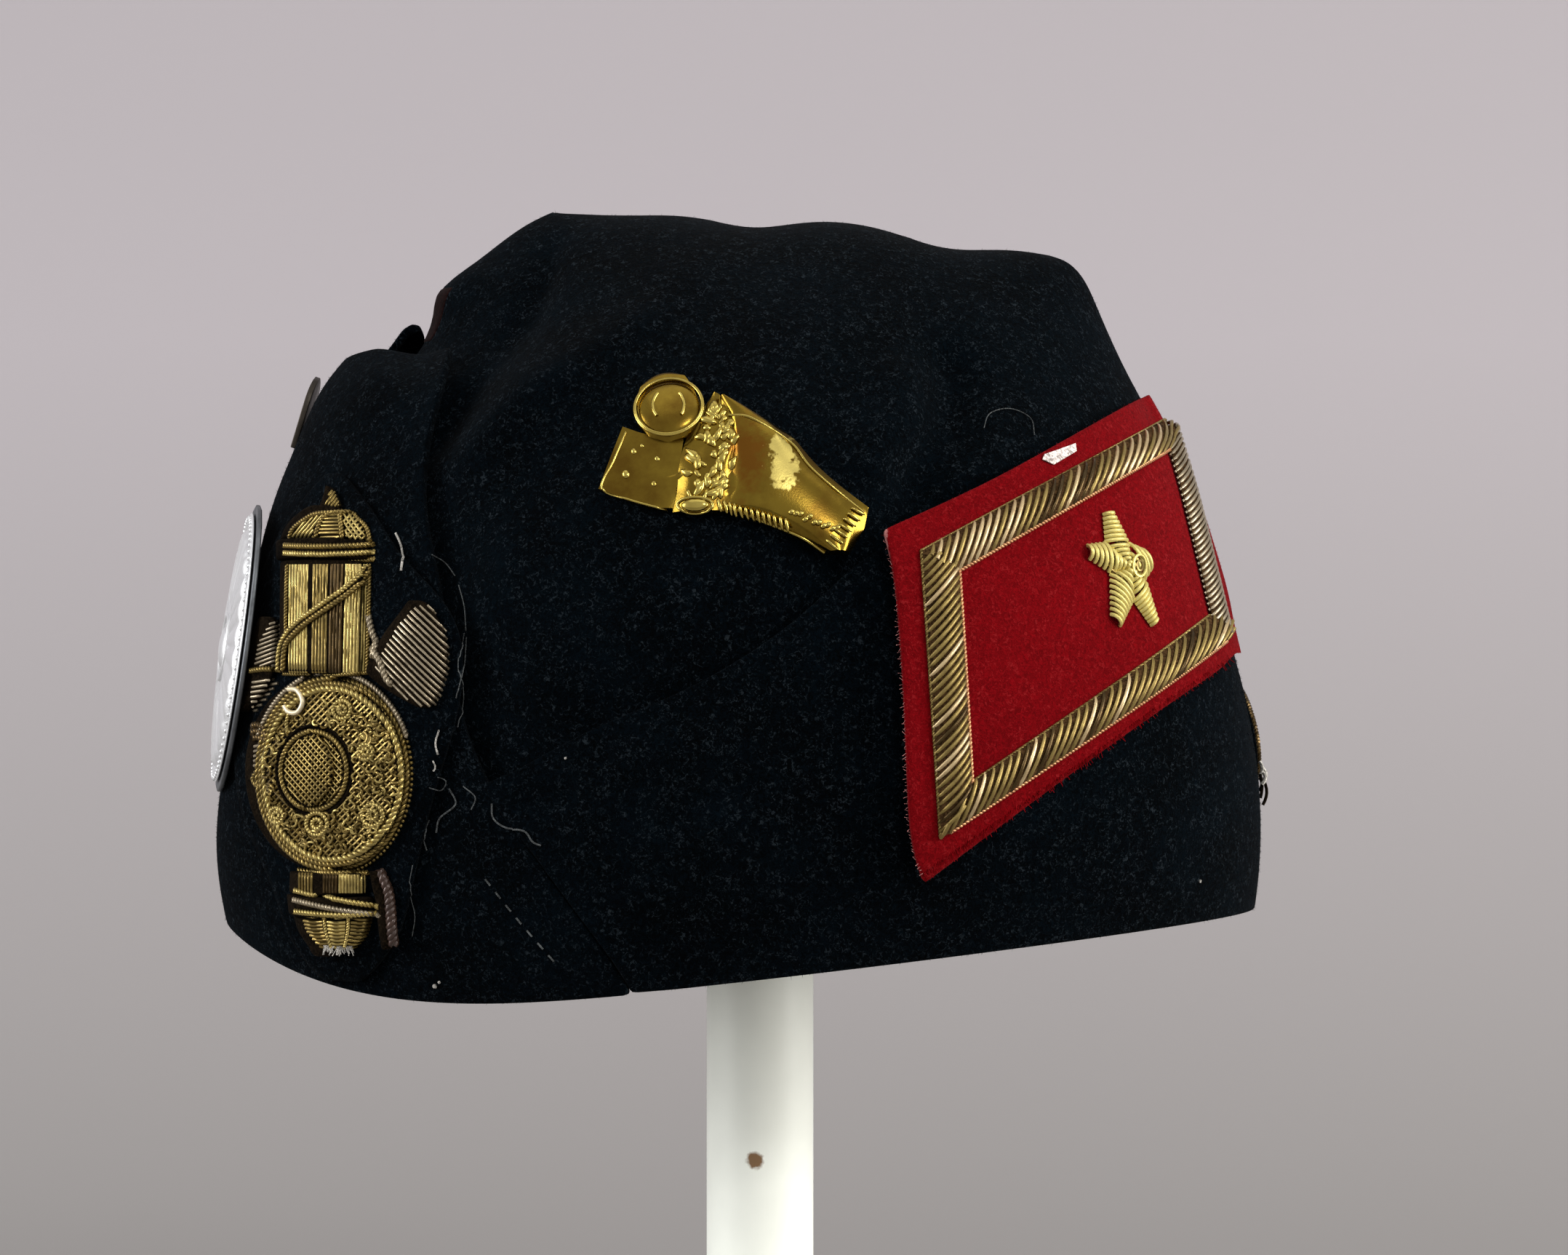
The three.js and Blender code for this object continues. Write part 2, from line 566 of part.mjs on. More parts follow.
// Several overlapping closed shapes as one solid.
function join(geometries) {
  const whole = geometries.map(toManifold).reduce((sum, next) => sum.add(next));
  const mesh = whole.getMesh();
  const geometry = new THREE.BufferGeometry();
  geometry.setAttribute('position', new THREE.BufferAttribute(new Float32Array(mesh.vertProperties), 3));
  geometry.setIndex(new THREE.BufferAttribute(new Uint32Array(mesh.triVerts), 1));
  geometry.computeVertexNormals();
  return geometry;
}

// ---- The assembly ----

const garrisonCap = new THREE.Group();
const onStand = new THREE.Group(); // holds all that is measured by rise
onStand.position.z = RIM_BASE;
garrisonCap.add(onStand);

function addPiece(group, name, geometry, finish) {
  const material = new THREE.MeshStandardMaterial(finish);
  const mesh = new THREE.Mesh(geometry, material);
  mesh.name = name;
  group.add(mesh);
  return mesh;
}

const addCloth = (name, geometry, finish = FELT) => addPiece(onStand, name, geometry, finish);
const addBullion = (name, geometry) => addPiece(onStand, name, geometry, GOLD);

// ---- Crown ----

function addCrown() {
  const rows = steps(CROWN_ROWS).map((share) => {
    const level = mix(CROWN_RIM_LEVEL, 1, share ** CROWN_ROW_SPREAD);
    return steps(CROWN_COLUMNS).slice(0, -1).map((plainTurn) => {
      const turn = plainTurn + (0.25 * Math.sin(4 * Math.PI * plainTurn)) / (4 * Math.PI);
      const point = formPoint(turn, level);
      if (share === 1) return point.setY(0);
      const seat = seatDepth(turn, point);
      const fold = foldDepth(point);
      const inset = seat + (fold < 0 ? fold * clamp01(1 - seat / EAR_FLAP_SEAT) : fold);
      return point.addScaledVector(formNormal(turn, level), -inset);
    });
  });
  addCloth('crown', thicken(rows, CROWN_WALL, true));
}

function addCrownBinding() {
  const { halfTurn, low, high, seat, wall } = CROWN_BINDING;
  const rows = steps(4).map((up) =>
    steps(4).map((across) => {
      const turn = mix(-halfTurn, halfTurn, across);
      return onForm(turn, mix(low, high, up), seat, seat + wall);
    }),
  );
  addCloth('crown_binding', solidBetween(rows), BINDING);
}

// ---- Flaps ----

// The turn of a flap's side edge at a share of its height, from the edge's X by rise.
function sideTurn(xAt, topAt, up) {
  let rise = up * topAt(0);
  let turn = 0;
  for (let i = 0; i < 14; i++) {
    turn = turnAt(xAt(rise), rise);
    rise = mix(formPoint(turn, 0).z, topAt(turn), up);
  }
  return turn;
}

// A flap's cloth from the rim to its top. turnsAt gives its two side edges by the share of its height,
// and dropAt how far its outer face lies below the form.
function flapCloth({ turnsAt, topAt, dropAt, wall, rowCount, columnCount }) {
  const rows = steps(rowCount).map((share) => {
    const up = mix(share, ease(share), FLAP_ROW_SPREAD);
    const [from, to] = turnsAt(up);
    return steps(columnCount).map((across) => {
      const turn = mix(from, to, across);
      const rise = mix(formPoint(turn, 0).z, topAt(turn), up);
      const level = levelAt(turn, rise);
      return formPoint(turn, level).addScaledVector(formNormal(turn, level), -dropAt(turn, rise));
    });
  });
  return thicken(rows, wall);
}

function addFrontFlap() {
  const topAt = frontFlapTopAt;
  const turnsAt = (up) => {
    const turn = sideTurn((rise) => along(FRONT_FLAP_REAR, 'rise', rise, 'x'), topAt, up);
    return [-turn, turn];
  };
  const { turn: peakTurn, width, lean, leanFrom, leanOver } = FRONT_FLAP_PEAK;
  const dropAt = (turn, rise) => -lean * bell(turn - peakTurn, width) * ease((rise - leanFrom) / leanOver);
  const shape = { turnsAt, topAt, dropAt, wall: FRONT_FLAP_WALL, rowCount: 10, columnCount: 25 };
  addCloth('front_flap', flapCloth(shape));
}

function addEarFlaps() {
  const backGap = 0.0006;
  const topAt = (turn) => riseOnEdge(turn, EAR_FLAP_TOP);
  const frontEdge = (rise) => along(FRONT_FLAP_REAR, 'rise', rise, 'x') + FLAP_PARTING;
  const turnsAt = (up) => [sideTurn(frontEdge, topAt, up), 0.5 - backGap];
  const dropAt = () => EAR_FLAP_DROP;
  const shape = { topAt, dropAt, wall: EAR_FLAP_WALL, rowCount: 7, columnCount: 20 };
  addCloth('ear_flap_left', flapCloth({ ...shape, turnsAt }));
  const mirrored = {
    turnsAt: (up) => turnsAt(up).map((turn) => -turn).reverse(),
    topAt: (turn) => topAt(-turn),
  };
  addCloth('ear_flap_right', flapCloth({ ...shape, ...mirrored }));
}

// ---- Bullion badge ----

function addBullionBadge() {
  const backing = { seat: SEAT_GAP, edge: BACKING_WALL, bulge: 0, rowCount: 12, columnCount: 6 };
  addCloth('badge_backing', padBetween(BACKING_EDGES, backing));
  for (const { name, edges, ...shape } of BULLION_PIECES)
    addBullion(name, padBetween(edges, { seat: GOLD_SEAT, ...shape }));
}

function addMedallion() {
  const { height, rim } = MEDALLION;
  const dish = (share) => (share > MEDALLION.flatShare ? rim : height);
  addBullion('badge_medallion', padOval(MEDALLION, GOLD_SEAT, MEDALLION.rings, MEDALLION.sides, dish));
  const bossSeat = GOLD_SEAT + height + GAP;
  const crest = (share) => mix(BOSS.height, BOSS.rim, share ** 2);
  addBullion('badge_boss', padOval(BOSS, bossSeat, BOSS.rings, BOSS.sides, crest));
}

// ---- Brass pin ----

function addBrassPin() {
  const flat = { seat: SEAT_GAP, edge: PIN_WALL };
  const plate = padBetween(PIN_PLATE_EDGES, { ...flat, bulge: PIN_BULGE.plate, rowCount: 3, columnCount: 3 });
  const { depth, across, up, twist } = RUFF_CRUMPLE;
  const ruff = padBetween(PIN_RUFF_EDGES, {
    ...flat,
    bulge: PIN_BULGE.ruff,
    rowCount: 6,
    columnCount: 4,
    relief: (acrossShare, upShare) =>
      depth * Math.sin(acrossShare * across + upShare * twist) * Math.sin(upShare * up),
  });
  const body = padBetween(PIN_BODY_EDGES, { ...flat, bulge: PIN_BULGE.body, rowCount: 7, columnCount: 6 });
  const { inside, insideShare, ring, edge } = PIN_DISC_RELIEF;
  const discHeight = (share) => PIN_WALL + (share === 1 ? edge : share > insideShare ? ring : inside);
  const disc = padOval(PIN_DISC, SEAT_GAP, PIN_DISC.rings, PIN_DISC.sides, discHeight);
  addPiece(onStand, 'brass_pin', join([plate, disc, ruff, body]), BRASS);
}

// ---- Red patch ----

const patchTurnLeft = (up) => {
  const rise = mix(PATCH_LEFT[0].rise, PATCH_LEFT.at(-1).rise, up);
  return turnAt(along(PATCH_LEFT, 'rise', rise, 'x'), rise);
};

// A place on the patch, by its share across and up.
function patchPlace(across, up) {
  const turn = mix(patchTurnLeft(up), PATCH_RIGHT_TURN, across);
  let rise = mix(PATCH_LOWER[0].rise, PATCH_UPPER.at(-1).rise, 0.5);
  for (let i = 0; i < 16; i++) {
    const { x } = formPoint(turn, levelAt(turn, rise));
    const lower = along(PATCH_LOWER, 'x', x, 'rise');
    const upper = along(PATCH_UPPER, 'x', x, 'rise');
    rise = mix(rise, mix(lower, upper, up), 0.7);
  }
  return { turn, rise };
}

const patchLift = (across) => PATCH_CURL.height * (1 - clamp01(across / PATCH_CURL.reach)) ** 2;

// The top and underside of a piece that lies on the patch's face, at heights above the cloth.
function onPatch(across, up, low, high) {
  const { turn, rise } = patchPlace(across, up);
  const lift = patchLift(across);
  return onForm(turn, rise, low + lift, high + lift);
}

function addPatch() {
  const felt = steps(11).map((up) =>
    steps(11).map((across) => onPatch(across, up, SEAT_GAP, SEAT_GAP + PATCH_WALL)),
  );
  addCloth('patch_felt', solidBetween(felt), RED_FELT);
}

// The bullion frame: its courses go round the patch, from its outer edge to its inner one.
function addPatchBraid() {
  const seat = BRAID_SEAT;
  const sideSteps = steps(7).slice(0, -1);
  const rows = BRAID_COURSES.map(({ inset, height }) => {
    const left = BRAID.left + (inset * BRAID.width) / PATCH_SIZE.across;
    const right = BRAID.right - (inset * BRAID.width) / PATCH_SIZE.across;
    const bottom = BRAID.bottom + (inset * BRAID.width) / PATCH_SIZE.up;
    const top = BRAID.top - (inset * BRAID.width) / PATCH_SIZE.up;
    const high = seat + height * BRAID.height;
    const corners = [[left, bottom], [right, bottom], [right, top], [left, top]];
    return corners.flatMap(([fromAcross, fromUp], i) => {
      const [toAcross, toUp] = corners[(i + 1) % 4];
      return sideSteps.map((t) =>
        onPatch(mix(fromAcross, toAcross, t), mix(fromUp, toUp, t), seat, high),
      );
    });
  });
  addBullion('patch_braid', solidBetween(rows, true));
}

function addPatchStar() {
  const seat = BRAID_SEAT;
  const turn = turnAt(STAR.x, STAR.rise);
  const facing = formNormal(turn, levelAt(turn, STAR.rise));
  const girth = Math.abs(facing.y) / Math.hypot(facing.x, facing.y); // X gained for each mm of girth
  const rim = STAR_ARMS.flatMap((arm, i) => {
    const next = STAR_ARMS[(i + 1) % STAR_ARMS.length];
    const turnOn = i + 1 === STAR_ARMS.length ? 360 : 0;
    return [arm, { degrees: (arm.degrees + next.degrees + turnOn) / 2, reach: STAR.valley }];
  });
  const rings = STAR.rings.map((share) =>
    rim.map(({ degrees, reach }) => {
      const angle = THREE.MathUtils.degToRad(degrees);
      const x = STAR.x + girth * share * reach * Math.cos(angle);
      const rise = STAR.rise + share * reach * Math.sin(angle);
      return onForm(turnAt(x, rise), rise, seat, seat + mix(STAR.height, STAR.edge, share));
    }),
  );
  addBullion('patch_star', solidBetween(rings, true));
}

// ---- Plates at the front and the badge at the back ----

// An oval plate facing -X. height gives its thickness by the share of its radius and by angle.
function ovalPlate(halfWidth, halfHeight, shares, columnCount, height) {
  const rows = [...shares].reverse().map((share) =>
    steps(columnCount).slice(0, -1).map((around) => {
      const angle = around * 2 * Math.PI;
      const y = -halfWidth * share * Math.cos(angle);
      const z = halfHeight * share * Math.sin(angle);
      return { top: new THREE.Vector3(-height(share, angle), y, z), base: new THREE.Vector3(0, y, z) };
    }),
  );
  return solidBetween(rows, true);
}

function addSilverPlate() {
  const plates = new THREE.Group();
  plates.position.set(SILVER_PLATE.x, SILVER_PLATE.y, SILVER_PLATE.rise);
  plates.rotation.set(0, SILVER_TILT, SILVER_YAW, 'ZYX');
  onStand.add(plates);
  const { halfWidth, halfHeight, edge, dome, rays, rayFrom, rayDepth } = SILVER_PLATE;
  const back = ovalPlate(SILVER_BACK.halfWidth, SILVER_BACK.halfHeight, [0, 1], 24, () => SILVER_BACK.wall);
  addPiece(plates, 'silver_plate_back', back, DULL_SILVER);
  const relief = (share, angle) => {
    const flute = share > rayFrom && share < 1 ? rayDepth * Math.cos(angle * rays) : 0;
    return edge + dome * (1 - share ** 2) + flute;
  };
  const face = ovalPlate(halfWidth, halfHeight, SILVER_PLATE.rings, rays * 2, relief);
  addPiece(plates, 'silver_plate', face, SILVER).position.x = -SILVER_BACK.wall - GAP;
}

function addBronzePlate() {
  const { length, width, wall, curveFrom, curveBend } = BRONZE_PLATE;
  const shape = new THREE.Shape();
  shape.moveTo(-width / 2, -length / 2);
  shape.lineTo(width / 2, -length / 2);
  shape.lineTo(width / 2, length * curveFrom);
  shape.quadraticCurveTo(width / 2, length * curveBend, 0, length / 2);
  shape.quadraticCurveTo(-width / 2, length * curveBend, -width / 2, length * curveFrom);
  const geometry = new THREE.ExtrudeGeometry(shape, { depth: wall, bevelEnabled: false, curveSegments: 5 });
  geometry.translate(0, 0, -wall / 2);
  geometry.rotateX(Math.PI / 2).rotateZ(-Math.PI / 2);
  const plate = addPiece(onStand, 'bronze_plate', geometry, BRONZE);
  plate.position.set(BRONZE_PLATE.x, BRONZE_PLATE.y, BRONZE_PLATE.rise);
  plate.rotation.y = BRONZE_TILT;
}

function addBackBadge() {
  const { turn, rise, halfTurn, halfHeight } = BACK_BADGE;
  const ringAt = (share, low, high) =>
    steps(BACK_BADGE.sides).slice(0, -1).map((around) => {
      const angle = around * 2 * Math.PI;
      const placeTurn = turn + halfTurn * share * Math.cos(angle);
      return onForm(placeTurn, rise + halfHeight * share * Math.sin(angle), low, high);
    });
  const face = SEAT_GAP + BACK_FELT_WALL;
  const felt = BACK_BADGE.rings.map((share) => ringAt(share, SEAT_GAP, face));
  addCloth('back_badge', solidBetween(felt, true));
  const rows = BACK_BRAID.map(({ share, height }) => ringAt(share, face + GAP, face + GAP + height));
  addBullion('back_badge_braid', solidBetween(rows, true));
}

// ---- Stand ----

function lathe(profile, segments) {
  const points = profile.map(([radius, height]) => new THREE.Vector2(radius, height));
  return new THREE.LatheGeometry(points, segments).rotateX(Math.PI / 2);
}

function addStand() {
  const shoulder = BASE_HEIGHT - BASE_BEVEL;
  const baseTop = BASE_RADIUS - BASE_BEVEL;
  const base = lathe(
    [[0, 0], [BASE_RADIUS, 0], [BASE_RADIUS, shoulder], [baseTop, BASE_HEIGHT], [0, BASE_HEIGHT]],
    48,
  );
  addPiece(garrisonCap, 'stand_base', base, WHITE_PAINT);
  const postTop = STAND_TOP.under - GAP;
  const post = lathe([[0, BASE_HEIGHT + GAP], [POST_RADIUS, BASE_HEIGHT + GAP], [POST_RADIUS, postTop], [0, postTop]], 24);
  addPiece(garrisonCap, 'stand_post', post, WHITE_PAINT);
  const { radius, rim, crest, under, bevel } = STAND_TOP;
  const drop = crest - rim;
  const sphere = (radius ** 2 + drop ** 2) / (2 * drop);
  const domeProfile = STAND_TOP.rings.map((share) => {
    const r = radius * share;
    return [r, crest - sphere + Math.sqrt(sphere ** 2 - r ** 2)];
  });
  const top = lathe([[0, under], [radius - bevel, under], [radius, under + bevel], ...domeProfile], 28);
  addPiece(garrisonCap, 'stand_top', top, WHITE_PAINT);
}

addCrown();
addCrownBinding();
addFrontFlap();
addEarFlaps();
addBullionBadge();
addMedallion();
addBrassPin();
addPatch();
addPatchBraid();
addPatchStar();
addSilverPlate();
addBronzePlate();
addBackBadge();
addStand();

export default garrisonCap;
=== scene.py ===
"""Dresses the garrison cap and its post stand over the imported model, in metres."""

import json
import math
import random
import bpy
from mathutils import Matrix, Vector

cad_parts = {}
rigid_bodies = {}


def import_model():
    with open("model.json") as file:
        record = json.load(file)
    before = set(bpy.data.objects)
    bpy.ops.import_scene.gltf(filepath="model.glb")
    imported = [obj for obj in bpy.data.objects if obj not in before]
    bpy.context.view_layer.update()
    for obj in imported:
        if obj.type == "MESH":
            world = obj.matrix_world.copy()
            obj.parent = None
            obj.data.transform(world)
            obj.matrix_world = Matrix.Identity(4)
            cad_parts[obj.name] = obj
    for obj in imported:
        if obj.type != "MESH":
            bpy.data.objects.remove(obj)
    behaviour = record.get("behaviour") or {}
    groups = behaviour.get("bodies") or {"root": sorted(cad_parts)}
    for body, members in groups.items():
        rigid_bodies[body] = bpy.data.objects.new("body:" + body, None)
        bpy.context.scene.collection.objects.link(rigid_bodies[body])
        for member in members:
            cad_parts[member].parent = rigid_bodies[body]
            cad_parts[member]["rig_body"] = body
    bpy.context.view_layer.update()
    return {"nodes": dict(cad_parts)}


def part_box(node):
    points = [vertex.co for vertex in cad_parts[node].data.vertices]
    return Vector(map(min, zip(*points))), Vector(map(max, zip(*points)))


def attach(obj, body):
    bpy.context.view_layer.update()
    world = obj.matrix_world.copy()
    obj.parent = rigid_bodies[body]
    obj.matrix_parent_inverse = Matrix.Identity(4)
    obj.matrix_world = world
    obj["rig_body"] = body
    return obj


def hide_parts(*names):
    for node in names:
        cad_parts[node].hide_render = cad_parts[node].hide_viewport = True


bl_info = {
    "name": "Garrison cap on a post stand",
    "version": (1, 0, 0),
    "blender": (4, 5, 0),
    "location": "3D View > Sidebar > Garrison Cap",
    "description": "Makes a felt garrison cap with its badges and patch, on a post stand",
    "category": "Object",
}

import bmesh
import bpy
import numpy as np
from mathutils import Matrix, Vector
from mathutils.bvhtree import BVHTree

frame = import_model()

MM = 0.001
RIM = 115.0  # the height in mm that rises are counted from, as in the part's own tables

# ---- Settings that a user would change ----


def colour(name, description, value):
    return bpy.props.FloatVectorProperty(
        name=name, description=description, subtype="COLOR", size=3, min=0, max=1, default=value
    )


def length(name, description, millimetres):
    return bpy.props.FloatProperty(
        name=name, description=description, default=millimetres * MM, unit="LENGTH", subtype="DISTANCE", min=0
    )


def number(name, description, value, low=0.0, high=10.0):
    return bpy.props.FloatProperty(name=name, description=description, default=value, min=low, max=high)


def count(name, description, value):
    return bpy.props.IntProperty(name=name, description=description, default=value, min=0)


class FeltSettings(bpy.types.PropertyGroup):
    """The cap's black wool felt"""

    black: colour("Black felt", "Colour of the cap's felt", (0.0005, 0.0016, 0.0027))
    lint: colour("Lint", "Colour of the pale fibres in the nap", (0.024, 0.031, 0.037))
    nap_length: length("Nap length", "Longest fibre that stands off the felt", 1.1)
    nap_width: length("Nap width", "Width of a fibre at its root", 0.09)
    crown_fibres: count("Crown fibres", "Number of fibres on the crown", 60000)
    flap_fibres: count("Flap fibres", "Number of fibres on each flap", 40000)
    relief: length("Relief", "Height of the felt's small unevenness", 0.45)


class BullionSettings(bpy.types.PropertyGroup):
    """The embroidered badge in gold wire"""

    gold: colour("Old gold", "Colour of the tarnished gold wire", (0.27, 0.19, 0.055))
    # Also laid as painted light on the column's two lit sides
    satin: colour("Satin gold", "Colour of the brighter gold wire", (0.50, 0.38, 0.125))
    pale: colour("Pale wire", "Colour of the silvered wire", (0.37, 0.305, 0.205))
    # Also laid as painted shade in the column's dark band
    shade: colour("Dark gold", "Colour of the darkest gold wire", (0.085, 0.052, 0.016))
    brown: colour("Brown cord", "Colour of the cord beside the foot", (0.055, 0.030, 0.021))


class PatchSettings(bpy.types.PropertyGroup):
    """The red patch with its braid and star"""

    red: colour("Red felt", "Colour of the patch's felt", (0.150, 0.0012, 0.0030))
    cut_edge: colour("Cut edge", "Colour of the felt's pale cut edge", (0.40, 0.17, 0.16))
    braid: colour("Braid", "Colour of the braid's gold wire", (0.29, 0.21, 0.065))
    star: colour("Star", "Colour of the star's yellow wire", (0.70, 0.60, 0.19))
    braid_height: length("Braid height", "Height of the braid above the patch", 1.9)


class MetalSettings(bpy.types.PropertyGroup):
    """The metal plates and the stamped pin"""

    brass: colour("Brass", "Colour of the stamped pin", (0.25, 0.165, 0.022))
    silver: colour("Silver", "Colour of the bright plate", (0.86, 0.87, 0.88))
    grey: colour("Grey", "Colour of the plate behind it", (0.17, 0.18, 0.19))
    bronze: colour("Bronze", "Colour of the dark plate", (0.06, 0.05, 0.04))


class StandSettings(bpy.types.PropertyGroup):
    """The painted stand"""

    paint: colour("Paint", "Colour of the stand's paint", (0.94, 0.96, 0.88))
    scuff: colour("Scuff", "Colour of the bare patch on the post", (0.20, 0.11, 0.05))


class StageSettings(bpy.types.PropertyGroup):
    """The backdrop, lights and camera"""

    pale: colour("Backdrop", "Colour of the backdrop's upper part", (0.420, 0.389, 0.407))
    # The low colour paints the shade near the floor into the backdrop
    low: colour("Low backdrop", "Colour of the backdrop near the floor", (0.294, 0.281, 0.274))
    distance: length("Camera distance", "From the camera to the post", 1100)
    height: length("Camera height", "From the floor to the camera", 192.3)
    offset: length("Camera offset", "From the post to the camera's line of sight", 4.95)
    lens: number("Lens", "Focal length in millimetres", 122.44, 10, 300)
    key: number("Key light", "Power of the light from the right, in watts", 19.0, 0, 500)
    fill: number("Fill light", "Power of the light from the left, in watts", 14.0, 0, 500)
    top: number("Top light", "Power of the light from above, in watts", 1.6, 0, 500)
    glint: number("Glint", "Power of the small light that sparkles on the metal, in watts", 2.8, 0, 500)
    sky: number("Surroundings", "Strength of the even light all round", 0.6, 0, 10)


GROUPS = {
    "felt": FeltSettings,
    "bullion": BullionSettings,
    "patch": PatchSettings,
    "metal": MetalSettings,
    "stand": StandSettings,
    "stage": StageSettings,
}


def settings(name):
    return getattr(bpy.context.scene, "cap_" + name)


# ---- Bench tools ----


def clear_selection():
    if bpy.context.object and bpy.context.object.mode != "OBJECT":
        bpy.ops.object.mode_set(mode="OBJECT")
    bpy.ops.object.select_all(action="DESELECT")


def take(piece):
    """Selects one piece alone and makes it active."""
    clear_selection()
    piece.select_set(True)
    bpy.context.view_layer.objects.active = piece
    return piece


def named(piece, name):
    piece.name = name
    piece.data.name = name
    return piece


def settle(piece):
    """Moves a piece's place into its mesh."""
    take(piece)
    bpy.ops.object.transform_apply(location=True, rotation=True, scale=True)
    return piece


def linked(name, data):
    """A new object in the scene that holds a mesh, a lamp or a camera."""
    made = bpy.data.objects.new(name, data)
    bpy.context.scene.collection.objects.link(made)
    return made


def mesh_piece(name, points, faces):
    """A new piece from points in metres."""
    mesh = bpy.data.meshes.new(name)
    mesh.from_pydata([tuple(p) for p in points], [], faces)
    mesh.update()
    return linked(name, mesh)


def edit(piece, change):
    """Runs change on the piece's bmesh and writes it back."""
    bm = bmesh.new()
    bm.from_mesh(piece.data)
    change(bm)
    bm.to_mesh(piece.data)
    bm.free()
    piece.data.update()
    return piece


def apply_modifier(piece, kind, **values):
    take(piece)
    modifier = piece.modifiers.new(kind.title(), kind)
    for key, value in values.items():
        setattr(modifier, key, value)
    bpy.ops.object.modifier_apply(modifier=modifier.name)
    return piece


def subdivide(piece, levels, simple=False):
    kind = "SIMPLE" if simple else "CATMULL_CLARK"
    return apply_modifier(piece, "SUBSURF", levels=levels, render_levels=levels, subdivision_type=kind)


def smooth(piece, angle=180.0):
    take(piece)
    bpy.ops.object.shade_smooth_by_angle(angle=math.radians(angle))
    return piece


def round_edges(piece, width, segments, angle=30.0):
    """Bevels the edges that turn by more than an angle in degrees, by a width in mm."""
    return apply_modifier(
        piece,
        "BEVEL",
        width=width * MM,
        segments=segments,
        limit_method="ANGLE",
        angle_limit=math.radians(angle),
    )


def shift(piece, x):
    """Moves a piece's mesh by so many mm along X."""
    for v in piece.data.vertices:
        v.co.x += x * MM
    return piece


def copy_of_node(node_name, name, crease=0.0):
    """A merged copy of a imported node's mesh, in faces of four corners where they pair up.

    A crease keeps its sharp edges from rounding off when it is subdivided.
    """
    piece = linked(name, frame["nodes"][node_name].data.copy())
    piece.data.materials.clear()
    named(piece, name)

    def tidy(bm):
        bmesh.ops.remove_doubles(bm, verts=bm.verts, dist=0.02 * MM)
        bmesh.ops.join_triangles(
            bm,
            faces=bm.faces,
            cmp_seam=False,
            cmp_sharp=False,
            cmp_uvs=False,
            cmp_vcols=False,
            cmp_materials=False,
            angle_face_threshold=math.radians(50),
            angle_shape_threshold=math.radians(60),
        )
        if crease:
            layer = bm.edges.layers.float.get("crease_edge") or bm.edges.layers.float.new("crease_edge")
            for e in bm.edges:
                if len(e.link_faces) == 2 and e.calc_face_angle(0) > math.radians(48):
                    e[layer] = crease

    return edit(piece, tidy)


def join_pieces(pieces, name):
    clear_selection()
    for piece in pieces:
        piece.select_set(True)
    bpy.context.view_layer.objects.active = pieces[0]
    if len(pieces) > 1:
        bpy.ops.object.join()
    return named(bpy.context.view_layer.objects.active, name)


def finish_piece(piece, material, replaces=()):
    """Gives a finished piece its material and its place in the frame."""
    piece.data.materials.clear()
    piece.data.materials.append(material)
    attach(piece, "root")
    if replaces:
        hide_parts(*replaces)
    return piece


def dressed(node_name, name, material, crease=0.0, levels=2, shaped=None):
    """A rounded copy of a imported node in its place, with its last shape given by a function."""
    piece = subdivide(copy_of_node(node_name, name, crease), levels)
    if shaped:
        shaped(piece)
    return finish_piece(smooth(piece), material, [node_name])


def tubes(name, paths, radius, sides=6, ends=True):
    """Round wires along paths of points, all in one mesh. A path may close on itself."""
    points, faces = [], []
    for path in paths:
        closed = (Vector(path[0]) - Vector(path[-1])).length < radius * 0.1
        line = [Vector(p) for p in (path[:-1] if closed else path)]
        n = len(line)
        start = len(points)
        normal = None
        for i, p in enumerate(line):
            before = line[i - 1] if i or closed else p
            after = line[(i + 1) % n] if i + 1 < n or closed else p
            tangent = (after - before).normalized()
            if normal is None:
                normal = tangent.orthogonal().normalized()
            normal = (normal - tangent * normal.dot(tangent)).normalized()
            side = tangent.cross(normal)
            for k in range(sides):
                turn = 2 * math.pi * k / sides
                points.append(p + (normal * math.cos(turn) + side * math.sin(turn)) * radius)
        for i in range(n if closed else n - 1):
            for k in range(sides):
                a, b = start + i * sides, start + ((i + 1) % n) * sides
                k2 = (k + 1) % sides
                faces.append((a + k, a + k2, b + k2, b + k))
        if ends and not closed:
            faces.append(tuple(start + k for k in reversed(range(sides))))
            faces.append(tuple(start + (n - 1) * sides + k for k in range(sides)))
    return smooth(mesh_piece(name, points, faces), 60)


def wires(name, paths, radius, material, sides=6):
    """A finished piece of round wires, of a radius in mm."""
    return finish_piece(tubes(name, paths, radius * MM, sides), material)


def resample(path, spacing):
    """The path's points set at even distances."""
    line = np.array([tuple(p) for p in path])
    run = np.concatenate([[0], np.cumsum(np.linalg.norm(np.diff(line, axis=0), axis=1))])
    places = np.linspace(0, run[-1], max(2, int(round(run[-1] / spacing)) + 1))
    return [Vector([np.interp(s, run, line[:, k]) for k in range(3)]) for s in places]


def strands(path, reach, pitch, number_of, per_turn=8, phase=0.0):
    """The strands of a twisted cord: helices of a reach round the path."""
    line = resample(path, pitch / per_turn)
    wound = [[] for _ in range(number_of)]
    normal = (line[1] - line[0]).orthogonal().normalized()
    for i, p in enumerate(line):
        tangent = (line[min(i + 1, len(line) - 1)] - line[max(i - 1, 0)]).normalized()
        normal = (normal - tangent * normal.dot(tangent)).normalized()
        side = tangent.cross(normal)
        for s in range(number_of):
            turn = phase + 2 * math.pi * (i / per_turn + s / number_of)
            wound[s].append(p + (normal * math.cos(turn) + side * math.sin(turn)) * reach)
    return wound


def ball(subdivisions):
    clear_selection()
    bpy.ops.mesh.primitive_ico_sphere_add(subdivisions=subdivisions, radius=1)
    return bpy.context.object


def upright(normal):
    """The turn that stands a primitive's Z along a normal."""
    return Vector((0, 0, 1)).rotation_difference(normal)


